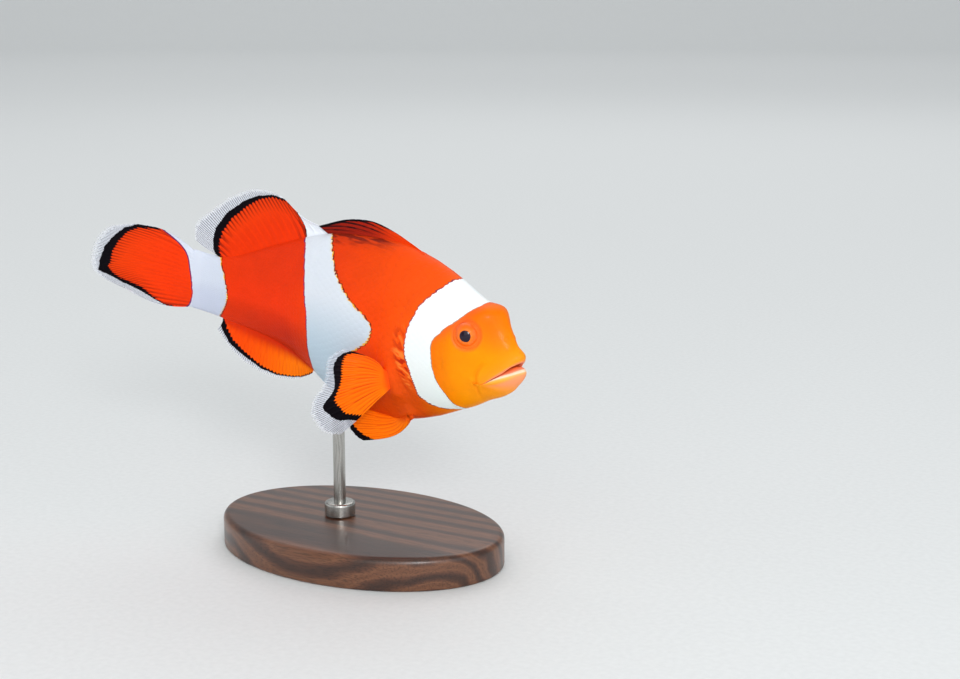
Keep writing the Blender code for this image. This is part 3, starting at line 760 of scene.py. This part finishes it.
def makeEyes(material):
    lookUp = np.array((0, 0, 1.0))
    acrossAxis = np.cross(lookUp, eyeAxis)
    acrossAxis /= np.linalg.norm(acrossAxis)
    upAxis = np.cross(eyeAxis, acrossAxis)
    for side, sign in (("right", 1), ("left", -1)):
        bm = bmesh.new()
        bmesh.ops.create_uvsphere(bm, u_segments=eye["segments"], v_segments=48, radius=1)
        piece = meshPiece("eye_ball_" + side, bm)
        x, y, z = placesOf(piece.data).T
        aside = eye["radius"] * np.hypot(x, y)
        angle = np.arctan2(y, x)
        fromPoint = (angle - eye["point"] + np.pi) % (2 * np.pi) - np.pi
        pupil = eye["pupil"] * (1 + eye["pointLength"] * hump(fromPoint, 0, .55))
        edge = np.where(z > 0, (aside - pupil) * millimetres, 2.0)
        radius = eye["radius"] * (1 + eye["bulge"] * (1 - eased(aside, 0, eye["pupil"] * 1.05)) * (z > 0)
                                  - eye["dent"] * hump(aside, eye["pupil"] * 1.15, .0016) * (z > 0))
        offset = x[:, None] * acrossAxis + y[:, None] * upAxis + z[:, None] * eyeAxis
        back, aside, up = (eyeCentre + radius[:, None] * offset).T
        reshape(piece.data, placed(back, sign * aside, up), {"pupilEdge": edge})
        faceOutward(piece.data)
        finishPiece(piece, material, "eye", "eye_" + side)


# rim: place along the fin, back, up
# black: outer edge of the dark margin as back, up; blackWide: share of that edge and width in mm
# tones: share along the fin and tone, from dark red 0 to yellow orange 1
# own: where the colour of the body at the root gives way to the fin's own
# shear: how far the rays lean toward the tail
midFins = {
    "dorsal_fin_spiny": {
        "root": (.318, .602), "on": "back", "rays": 10, "wave": 0.0, "bow": 0.0, "rows": 26, "shear": .75,
        "rim": ((0, .352, .214), (.2, .409, .236), (.45, .478, .252), (.7, .549, .245), (1, .631, .215)),
        "black": ((.300, .206), (.352, .2165), (.409, .2385), (.478, .2545), (.549, .2475), (.635, .2175),
                  (.650, .19)),
        "blackWide": ((0, .04), (.25, .10), (.5, .30), (.8, .60), (1, .70)), "own": (-.25, .12),
        "rayTone": .35,
        "tones": ((0, .50), (.25, .42), (.5, .27), (.75, .20), (1, .13)), "thick": (1.0, .14), "streaks": 1.0,
        "fold": .011, "scallop": .005, "jag": .3,
    },
    "dorsal_fin_soft": {
        "root": (.606, .925), "on": "back", "rays": 18, "wave": .010, "bow": .004, "rows": 44,
        "rim": ((0, .622, .211), (.12, .690, .232), (.22, .750, .270), (.38, .826, .280), (.55, .895, .254),
                (.72, .955, .208), (.87, 1.000, .162), (1, .998, .121)),
        "black": ((.664, .170), (.677, .203), (.684, .215), (.707, .252), (.736, .266), (.779, .271),
                  (.825, .261), (.862, .244), (.915, .202), (.943, .158), (.948, .125), (.944, .099),
                  (.929, .075)),
        "blackWide": ((0, .18), (.25, .26), (.45, .55), (.6, 1.2), (.75, 1.5), (.9, 1.1), (1, .9)),
        "own": (.2, .9),
        "tones": ((0, .42), (.5, .44), (1, .52)), "thick": (1.0, .10), "scallop": .006,
        "rayTone": .24, "jag": .7, "bleed": 1.0,
    },
    "anal_fin": {
        "root": (.618, .905), "on": "belly", "rays": 16, "wave": -.008, "bow": .003, "rows": 38,
        "rim": ((0, .631, -.178), (.2, .672, -.203), (.4, .735, -.212), (.6, .800, -.200), (.8, .868, -.168),
                (1, .925, -.115)),
        "black": ((.606, -.168), (.631, -.179), (.666, -.197), (.697, -.203), (.738, -.205), (.785, -.195),
                  (.847, -.166), (.884, -.145), (.910, -.112), (.920, -.082), (.922, -.06)),
        "blackWide": ((0, .20), (.35, .26), (.5, .5), (.7, 1.0), (.85, 1.2), (1, 1.0)), "own": (.05, .45),
        "tones": ((0, .86), (.3, .82), (.65, .60), (1, .50)), "thick": (.95, .10), "scallop": .006,
        "rayTone": .30, "jag": .7,
    },
    "tail_fin": {
        "root": (.090, -.064), "on": "stalk", "rays": 17, "wave": .012, "bow": .019, "rows": 48,
        "rim": ((0, 1.185, .138), (.15, 1.245, .122), (.32, 1.285, .080), (.5, 1.305, .025),
                (.68, 1.300, -.008), (.85, 1.262, -.026), (1, 1.195, -.038)),
        "black": ((.985, .098), (1.040, .119), (1.094, .137), (1.164, .139), (1.200, .125), (1.230, .099),
                  (1.258, .066), (1.276, .024), (1.282, -.006), (1.240, -.017), (1.204, -.028),
                  (1.153, -.041), (1.112, -.058), (1.075, -.071), (.985, -.073)),
        "blackWide": ((0, .10), (.12, .14), (.22, .75), (.29, 1.0), (.36, 1.35), (.43, 1.8), (.50, 2.3),
                      (.57, 2.6), (.645, .9), (.79, .75), (.86, .35), (.93, .15), (1, .10)),
        "tones": ((0, .44), (.5, .46), (1, .44)), "thick": (2.0, .10), "scallop": .006, "own": (.2, .9),
        "rayTone": .30, "jag": .8, "bleed": .8,
    },
}

# black margins as place along the fin and length of the ray at the margin's two edges
pairedFins = {
    "pectoral": {
        "rootTop": (.348, -.082), "rootBottom": (.340, -.138), "out": math.radians(48), "lift": .010,
        "fan": (math.radians(23), math.radians(-50)), "cup": .030, "rays": 15, "rows": 52, "bow": -.012,
        "reach": ((0, .108), (.15, .138), (.37, .144), (.47, .155), (.58, .186), (.7, .199), (.9, .188),
                  (1, .162)),
        "blackIn": ((0, .046), (.02, .074), (.037, .085), (.092, .099), (.23, .104), (.37, .104), (.51, .113),
                    (.63, .131), (.72, .126), (.84, .118), (.90, .105), (1, .088)),
        "blackOut": ((0, .088), (.069, .106), (.147, .118), (.257, .124), (.42, .122), (.52, .127),
                     (.58, .141), (.65, .163), (.75, .157), (.86, .142), (.92, .122), (1, .108)),
        "own": (-.04, .06), "tones": ((0, .70), (.25, .77), (.6, .77), (1, .84)), "thick": (1.0, .10),
        "scallop": .006, "pleat": .0008, "rayTone": .85, "jag": 1.0, "place": (.34, .64),
    },
    "pelvic": {
        "leftLift": math.radians(12), "leftBow": .4, "rootBack": (.296, .344), "rootSide": (.044, .020),
        "out": math.radians(11), "inner": .7, "lift": .011,
        "fan": (math.radians(-35), math.radians(3)), "rays": 7, "rows": 40, "bow": .024,
        "reach": ((0, .146), (.3, .164), (.6, .166), (1, .128)),
        "blackIn": ((0, .116), (.35, .140), (.56, .146), (1, .118)), "blackOut": ((0, .150), (1, .172)),
        "own": (-.02, .12), "tones": ((0, .84), (1, .80)), "thick": (1.1, .16), "scallop": .02,
        "pleat": .0010, "rayTone": .60, "jag": .8, "place": (.32, .88),
    },
}
finColumns = 12  # mesh columns for each ray
hiddenRoot = .10  # share of a fin's length that lies inside the body


# thickness of the fin from flesh at the root to film at the rim, with a ridge on each ray, which forks twice
def finThickness(shape, phase, along, out):
    ridges, share = 0, 1
    for level, (start, end) in ((1, (.42, .56)), (2, (.78, .90)), (4, (2, 3))):
        fading = eased(out, start, end)
        ridges = ridges + share * (1 - fading) * np.clip(np.cos(2 * np.pi * phase * level), 0, 1) ** 2
        share = share * fading
    root, rim = shape["thick"]
    if shape.get("on") == "stalk":  # round like the end of the stalk
        root = root * np.sqrt(np.clip(1 - (2 * along - 1) ** 2, 0, 1))
    film = rim + (root - rim) * (1 - eased(out, -.02, .34)) ** 2
    return film + (.11 * (1 - out) ** .6 * eased(out, .04, .25) + .035) * ridges


def finPiece(name, shape, pointAt, material, node):
    thick = {}

    def moved(u, v):
        out = -hiddenRoot + (1 + hiddenRoot) * v
        shown = np.clip(out, 0, 1)
        phase = (u - shape.get("shear", 0) * shown) * shape["rays"]
        wave = .5 + .5 * np.cos(2 * np.pi * phase)
        points, marks = pointAt(u, out * (1 - shape["scallop"] * (1 - wave) * eased(out, .55, 1)))
        marks.update({"rayPhase": phase, "outShare": out, "tone": smooth(shape["tones"], u),
                      "own": eased(out, *shape["own"]), "jag": np.full(len(u), shape["jag"]),
                      # painted shade between the folded spines of the front fin
                      "streak": shape.get("streaks", 0) * eased(u, .18, .45) * eased(out, .12, .5),
                      "rayTone": shape["rayTone"] * eased(out, .02, .22),
                      "bleed": np.full(len(u), shape.get("bleed", 0))})
        marks.setdefault("bandBehind", np.full(len(u), 9.0))
        marks.setdefault("whiteRim", np.zeros(len(u)))
        thick["values"] = finThickness(shape, phase, u, shown) / 1000
        return points, marks

    piece = gridPiece(name, shape["rays"] * finColumns, shape["rows"], moved)
    group = piece.vertex_groups.new(name="thickness")
    most = float(thick["values"].max())
    for index, value in enumerate(thick["values"]):
        group.add([index], float(value) / most, "REPLACE")
    shell = piece.modifiers.new("thickness", "SOLIDIFY")
    shell.thickness = most
    shell.offset = 0
    shell.vertex_group = group.name
    shell.use_rim = True
    return finishPiece(piece, material, "fin", node)


def midFinPlane(shape, along, out):
    start, end = shape["root"]
    spread = start + (end - start) * along
    if shape["on"] == "stalk":
        root = np.stack((np.full(len(along), 1.0), spread), -1)
    else:
        root = np.stack((spread, smooth(bodyLines[shape["on"]], spread)), -1)
    rim = np.stack([smooth(np.array(shape["rim"])[:, (0, k)], along) for k in (1, 2)], -1)
    ray = (rim - root) / np.linalg.norm(rim - root, axis=-1, keepdims=True)
    across = np.stack((-ray[:, 1], ray[:, 0]), -1) * np.where(ray[:, :1] > 0, 1, -1)
    curve = shape["bow"] * np.sin(np.pi * np.clip(out, 0, 1)) * (1 - 2 * along) ** 3
    return root + (rim - root) * out[:, None] + across * curve[:, None]


# signed distance in mm inside the outer edge of the dark margin, and the width of the margin there
def marginOf(shape, flat):
    line = np.array(shape["black"])
    best, sign, share = np.full(len(flat), 9.0), np.ones(len(flat)), np.zeros(len(flat))
    turning = -1 if shape["on"] == "belly" else 1
    for k, (a, b) in enumerate(zip(line[:-1], line[1:])):
        t = np.clip(((flat - a) @ (b - a)) / ((b - a) @ (b - a)), 0, 1)
        offset = flat - a - t[:, None] * (b - a)
        gap = np.linalg.norm(offset, axis=-1)
        side = -turning * np.sign((b - a)[0] * (flat - a)[:, 1] - (b - a)[1] * (flat - a)[:, 0])
        nearer = gap < best - 1e-9
        best, sign = np.where(nearer, gap, best), np.where(nearer, side, sign)
        share = np.where(nearer, (k + t) / (len(line) - 1), share)
    return best * sign * millimetres, smooth(shape["blackWide"], share)


def makeMidFins(material):
    for node, shape in midFins.items():
        def pointAt(along, out, node=node, shape=shape):
            flat = midFinPlane(shape, along, out)
            back, up = flat.T
            sway = shape["wave"] * np.clip(out, 0, 1) ** 2 * np.sin(2 * np.pi * along + .6)
            sway = sway + shape.get("fold", 0) * along ** 3 * np.clip(out, 0, 1)
            inside, wide = marginOf(shape, flat)
            marks = {"inside": inside, "blackWide": wide, "bodyBack": np.minimum(back, 1.0),
                     "girth": np.full(len(back), {"back": .2, "belly": 1.0, "stalk": .5}[shape["on"]])}
            if node == "tail_fin":
                marks["bandBehind"] = behindEdge("tail", "rear", back, np.zeros(len(back)), up)
            if node == "dorsal_fin_soft":
                marks["whiteRim"] = 1 - eased(along, .22, .27)
            return placed(back, sway, up), marks

        finPiece(node + "_rays", shape, pointAt, material, node)


def flankSide(back, up):
    top, low, middle = (smooth(bodyLines[name], back) for name in ("back", "belly", "middle"))
    rise = np.minimum(1, np.abs((up - middle) / (np.where(up > middle, top, low) - middle)))
    return smooth(bodyLines["width"], back) * np.sqrt(1 - rise ** 2) ** fish["fullness"]


def pairedFinPoint(kind, shape, along, out, sign):
    if kind == "pectoral":
        back, up = (a + (b - a) * along for a, b in zip(shape["rootTop"], shape["rootBottom"]))
        root = np.stack((back, flankSide(back, up) + shape["lift"], up), -1)
        swing = np.full(len(along), shape["out"])
    else:
        back, side = (a + (b - a) * along for a, b in (shape["rootBack"], shape["rootSide"]))
        middle, low = smooth(bodyLines["middle"], back), smooth(bodyLines["belly"], back)
        up = middle + (low - middle) * np.sqrt(1 - (side / smooth(bodyLines["width"], back)) ** 2)
        root = np.stack((back, side, up - shape["lift"] * (1 - along)), -1)
        swing = shape["out"] * (1 - shape["inner"] * along)
    first = shape["fan"][0] + (shape.get("leftLift", 0) if sign < 0 else 0)
    dip = first + (shape["fan"][1] - first) * along
    ray = np.stack((np.cos(dip) * np.cos(swing), np.cos(dip) * np.sin(swing), np.sin(dip)), -1)
    down = np.stack((np.sin(dip) * np.cos(swing), np.sin(dip) * np.sin(swing), -np.cos(dip)), -1)
    across = np.stack((np.sin(swing), -np.cos(swing), np.zeros(len(along))), -1)
    shown = np.clip(out, 0, 1)
    bend = shape.get("cup", 0) * out ** 2 + shape["pleat"] * shown * np.cos(2 * np.pi * along * shape["rays"])
    bow = shape["bow"] * (1 - along) * np.sin(np.pi * shown ** .7)
    bow = bow * (shape.get("leftBow", 1) if sign < 0 else 1)
    reach = out * smooth(shape["reach"], along)
    back, side, up = (root + ray * reach[:, None] + across * bend[:, None] + down * bow[:, None]).T
    return placed(back, sign * side, up)


def makePairedFins(material):
    for kind, shape in pairedFins.items():
        for side, sign in (("right", 1), ("left", -1)):
            def pointAt(along, out, kind=kind, shape=shape, sign=sign):
                reach = smooth(shape["reach"], along) * millimetres
                outer, inner = (smooth(shape[name], along) * millimetres for name in ("blackOut", "blackIn"))
                marks = {"inside": outer - out * reach, "blackWide": outer - inner,
                         "bodyBack": np.full(len(along), shape["place"][0]),
                         "girth": np.full(len(along), shape["place"][1])}
                return pairedFinPoint(kind, shape, along, out, sign), marks

            finPiece(f"{kind}_fin_{side}_rays", shape, pointAt, material, f"{kind}_fin_{side}")


# Fin membrane stretched over bony rays: wet film, coloured inside the dark margin and clear outside it.
finLook = {
    "tones": ((0, "#4A100E"), (.25, "#A02010"), (.42, "#E63A08"), (.55, "#F64A04"), (.75, "#FF6802"),
              (1, "#FF9208")),
    "ink": "#08040A",
    "film": "#70768A",
    "filament": "#EDF0F8",
    "white": "#E6EAF2",
    "groove": "#E23606",
}


def makeFinMaterial():
    made, add, shader = startMaterial("fin_membrane", Roughness=.45, Specular_IOR_Level=.05, Coat_Weight=.02,
                                      Coat_Roughness=.15)
    place = add("TexCoord").outputs["Object"]
    marks = {name: add("Attribute", attribute_name=name).outputs["Fac"] for name in
             ("inside", "blackWide", "rayPhase", "outShare", "tone", "own", "jag", "streak", "rayTone",
              "bandBehind", "bleed", "whiteRim", "bodyBack", "girth")}
    noise = add("TexNoise", Vector=place, Scale=2600, Detail=2.0)
    # a wave that is 1 on a ray and 0 between two rays, and the same for the forked rays
    waves = []
    for rate in (1, 2, 4):
        phase = add("Math", marks["rayPhase"], 2 * math.pi * rate, **times)
        cosine = add("Math", phase, operation="COSINE")
        waves.append(add("MapRange", cosine, -1.0, 1.0))
    fork = add("MapRange", marks["outShare"], .42, .60)
    forkAgain = add("MapRange", marks["outShare"], .78, .90)
    ray = add("MixRGB", fork, waves[0], waves[1])
    ray = add("MixRGB", forkAgain, ray, waves[2])
    own = add("ValToRGB", marks["tone"], stops=finLook["tones"])
    flesh = add("MixRGB", marks["own"], bodyColour(add, place, marks), own)
    # between two rays the film is redder
    hollow = add("MapRange", ray, .50, .05, **smoothly)
    uneven = add("Math", marks["rayPhase"], 2 * math.pi * .37, **times)
    uneven = add("Math", uneven, operation="SINE")
    uneven = add("MapRange", uneven, -1.0, 1.0, .45, 1.15)
    for part in (marks["rayTone"], uneven):
        hollow = add("Math", hollow, part, **times)
    redder = add("MixRGB", .62, flesh, finLook["groove"])
    redder = add("MixRGB", 1.0, redder, (.86, .80, .8, 1), blend_type="MULTIPLY")
    flesh = add("MixRGB", hollow, flesh, redder)
    # painted shade: dark streaks between the folded spines of the front fin
    streakNoise = add("TexNoise", Vector=place, Scale=300, Detail=2.0)
    few = add("Math", marks["rayPhase"], 2 * math.pi * .45, **times)
    few = add("Math", few, operation="COSINE")
    streak = add("MapRange", few, .1, -.75, **smoothly)
    patchy = add("MapRange", streakNoise, .38, .56, .35, 1.0)
    streak = add("Math", streak, patchy, **times)
    streak = add("Math", streak, marks["streak"], **times)
    flesh = add("MixRGB", streak, flesh, "#2C0D10")
    # the dark margin, finely toothed toward the flesh
    jagged = add("MapRange", waves[1], None, None, -.17, .17)
    jagNoise = add("MapRange", noise, .3, .7, -.12, .12)
    jagged = add("Math", jagged, jagNoise, operation="ADD")
    depth = add("Math", marks["inside"], marks["blackWide"], operation="SUBTRACT")
    depth = add("Math", jagged, marks["jag"], depth, operation="MULTIPLY_ADD")
    # dark runs from the margin down between the rays
    bleed = add("MapRange", depth, 2.4, .0, .0, .8)
    grooves = add("MapRange", ray, .62, .10, **smoothly)
    for mark in (grooves, marks["bleed"]):
        bleed = add("Math", bleed, mark, **times)
    flesh = add("MixRGB", bleed, flesh, "#5A100C")
    dark = add("MapRange", depth, .07, -.07, **smoothly)
    colour = add("MixRGB", dark, flesh, finLook["ink"])
    # the clear fringe with its pale filaments
    edgeShift = add("MapRange", noise, .3, .7, -.08, .08)
    edge = add("Math", marks["inside"], edgeShift, operation="ADD")
    fringe = add("MapRange", edge, .05, -.05, **smoothly)
    hair = add("MapRange", waves[2], .58, .90, **smoothly)
    film = add("MixRGB", hair, finLook["film"], finLook["filament"])
    film = add("MixRGB", marks["whiteRim"], film, finLook["white"])
    colour = add("MixRGB", fringe, colour, film)
    # the tail band runs a little way onto the tail fin, up to a thin dark line
    band = add("MapRange", marks["bandBehind"], .05, -.05, **smoothly)
    colour = add("MixRGB", band, colour, fleshLook["white"]["tail"][0])
    ink, half = fleshLook["edges"]["tailRear"][1:3]
    line = thinLine(add, marks["bandBehind"], half * .8, half, half * .4, .92)
    colour = add("MixRGB", line, colour, ink)
    # the film frays before the filaments end
    ragged = add("MapRange", noise, .3, .7, -.03, .03)
    ragged = add("Math", marks["outShare"], ragged, operation="ADD")
    filmEnd = add("MapRange", ragged, .92, .98, .34, 0.0, **smoothly)
    hairEnd = add("MapRange", ragged, .96, 1.02, .82, 0.0, **smoothly)
    clear = add("MixRGB", hair, filmEnd, hairEnd)
    solid = add("Math", marks["whiteRim"], band, operation="MAXIMUM")
    clear = add("MixRGB", solid, clear, (1, 1, 1, 1))
    alpha = add("MixRGB", fringe, (1, 1, 1, 1), clear)
    bump = add("Bump", Height=ray, Strength=.22, Distance=.00010)
    plugInto(shader, {"Base Color": colour, "Alpha": alpha, "Normal": bump})
    return made


stand = {  # node, slot, sides, bevel of the top edge and its steps, bevel of the foot
    "base_walnut": ("stand_base", "stand_wood", 160, .0012, 6, .0005),
    "rod_steel": ("stand_rod", "stand_steel", 48, 0, 0, 0),
    "collar_steel": ("stand_collar", "stand_steel", 72, .0005, 4, 0),
}


# Walnut, turned and oiled: brown with darker growth rings along its length and a satin sheen.
def makeWoodMaterial():
    made, add, shader = startMaterial("oiled_walnut", Roughness=.38, Coat_Weight=.30, Coat_Roughness=.25)
    place = add("TexCoord").outputs["Object"]
    turned = add("Mapping", Vector=place, Location=(.003, .012, .004), Scale=(.10, 1.0, 1.0))
    # growth rings about 2.5 mm apart
    rings = add("TexWave", Vector=turned, Scale=95.0, Distortion=5.0, Detail=3.0, Detail_Scale=1.6,
                wave_type="RINGS", rings_direction="X")
    pores = add("Mapping", Vector=place, Scale=(.06, 1.0, 1.0))
    pores = add("TexNoise", Vector=pores, Scale=5200, Detail=2.0)
    tint = add("ValToRGB", rings, stops=((0, "#3B2115"), (.45, "#5A3522"), (.8, "#754A30"), (1, "#6A4129")))
    pit = add("MapRange", pores, .36, .52, .55, 1.0)
    colour = add("MixRGB", 1.0, tint, pit, blend_type="MULTIPLY")
    bump = add("Bump", Height=pit, Strength=.3, Distance=.00005)
    plugInto(shader, {"Base Color": colour, "Normal": bump})
    return made


# Brushed stainless steel: grey, with fine lines along the rod that stretch its highlights.
def makeSteelMaterial():
    made, add, shader = startMaterial("brushed_steel", Metallic=1.0, Roughness=.27, Anisotropic=.4)
    place = add("TexCoord").outputs["Object"]
    lines = add("Mapping", Vector=place, Scale=(1.0, 1.0, .03))
    lines = add("TexNoise", Vector=lines, Scale=9000, Detail=2.0)
    tint = add("ValToRGB", lines, stops=((.3, "#8F8E8B"), (.7, "#C9C7C2")))
    bump = add("Bump", Height=lines, Strength=.25, Distance=.00003)
    plugInto(shader, {"Base Color": tint, "Normal": bump})
    return made


def makeStand(finishes):
    for name, (node, slot, sides, bevel, steps, foot) in stand.items():
        low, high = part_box(node)
        size, centre = high - low, (low + high) / 2
        bm = bmesh.new()
        bmesh.ops.create_cone(bm, cap_ends=True, segments=sides, radius1=.5, radius2=.5, depth=1)
        bmesh.ops.scale(bm, verts=bm.verts[:], vec=size)
        bmesh.ops.translate(bm, verts=bm.verts[:], vec=centre)
        for edgeHeight, width in ((high.z, bevel), (low.z, foot)):
            rim = [e for e in bm.edges if all(abs(v.co.z - edgeHeight) < 1e-6 for v in e.verts)]
            if width:
                bmesh.ops.bevel(bm, geom=rim, offset=width, segments=max(steps, 1), profile=.5,
                                affect="EDGES", material=-1)
        bmesh.ops.recalc_face_normals(bm, faces=bm.faces[:])
        piece = meshPiece(name, bm)
        piece.data.set_sharp_from_angle(angle=math.radians(35))
        finishPiece(piece, finishes[slot], slot, node)


camera = {
    "aim": (.0281, -.00535, .04343),
    "from": (30, 12, .266),  # azimuth, elevation, distance
    "lens": 60,
}
fishAt = (0, 0, .04)
eyeAt = tuple(placed(*eyeCentre))
lamps = {  # aim, then azimuth, elevation, distance from it, size, watts, colour
    "key": (fishAt, 22, 27, 1.0, .90, 2.56, "#FFFEFA"),
    "fill": (fishAt, 72, 12, 1.1, 1.0, 3.2, "#F8FBFF"),
    "left": (fishAt, -55, 20, 1.1, .90, 1.4, "#FFFFFF"),
    "back": (fishAt, 195, 45, 1.2, .90, 1.6, "#FFFFFF"),
    "flash": (eyeAt, 40, 24, .68, .13, 1.76, "#FFFFFF"),
    "overhead": ((-.9, 1.5, 0), 0, 90, 2.4, 3.2, 29, "#FFFFFF"),
}


def around(azimuth, elevation, distance):
    a, e = math.radians(azimuth), math.radians(elevation)
    return Vector((math.sin(a) * math.cos(e), -math.cos(a) * math.cos(e), math.sin(e))) * distance


# puts a camera or lamp at its distance from the target, looking at it
def lookAt(name, data, target, azimuth, elevation, distance):
    offset = around(azimuth, elevation, distance)
    held = bpy.data.objects.new(name, data)
    held.location = Vector(target) + offset
    held.rotation_euler = (-offset).to_track_quat("-Z", "Y").to_euler()
    bpy.context.scene.collection.objects.link(held)
    return held


def makeStudio():
    scene = bpy.context.scene
    scene.view_settings.view_transform = "Standard"
    data = bpy.data.cameras.new("camera")
    data.lens, data.sensor_width, data.clip_start = camera["lens"], 36, .01
    scene.camera = lookAt("camera", data, camera["aim"], *camera["from"])
    for name, (target, azimuth, elevation, distance, size, watts, colour) in lamps.items():
        data = bpy.data.lights.new(name, "AREA")
        data.size, data.energy, data.color = size, watts, hexColour(colour)[:3]
        lookAt(name, data, target, azimuth, elevation, distance)
    world = bpy.data.worlds.new("studio")
    world.use_nodes = True
    world.node_tree.nodes["Background"].inputs[0].default_value = hexColour("#E9EDF0")
    world.node_tree.nodes["Background"].inputs[1].default_value = .50
    scene.world = world
    # pale floor that curves up into a backdrop on every side
    made, add, shader = startMaterial("matt_paper", Roughness=.9)
    place = add("TexCoord").outputs["Object"]
    fibre = add("TexNoise", Vector=place, Scale=900, Detail=3.0)
    tint = add("ValToRGB", fibre, stops=((.3, "#E1E3E3"), (.7, "#E6E8E8")))
    plugInto(shader, {"Base Color": tint})

    def sweep(u, v):
        turn, reach = 2 * np.pi * u, 6.0 * v ** 1.5
        climb = np.clip(reach - 3.0, 0, None)
        return np.stack((np.cos(turn) * (reach - climb * .4), np.sin(turn) * (reach - climb * .4),
                         .25 * climb ** 2), -1), {}

    floor = gridPiece("paper_sweep", 96, 40, sweep, closed=True)
    floor.data.materials.append(made)
    floor.data.flip_normals()


makeStudio()
print("studio ready")
fleshMaterial, eyeMaterial, finMaterial = makeFleshMaterial(), makeEyeMaterial(), makeFinMaterial()
standFinishes = {"stand_wood": makeWoodMaterial(), "stand_steel": makeSteelMaterial()}
print("finishes ready")
makeSkin(fleshMaterial)
print("skin ready")
makeScales(fleshMaterial)
print("scales ready")
makeEyes(eyeMaterial)
print("eyes ready")
makeMidFins(finMaterial)
makePairedFins(finMaterial)
print("fins ready")
makeStand(standFinishes)
print("stand ready")
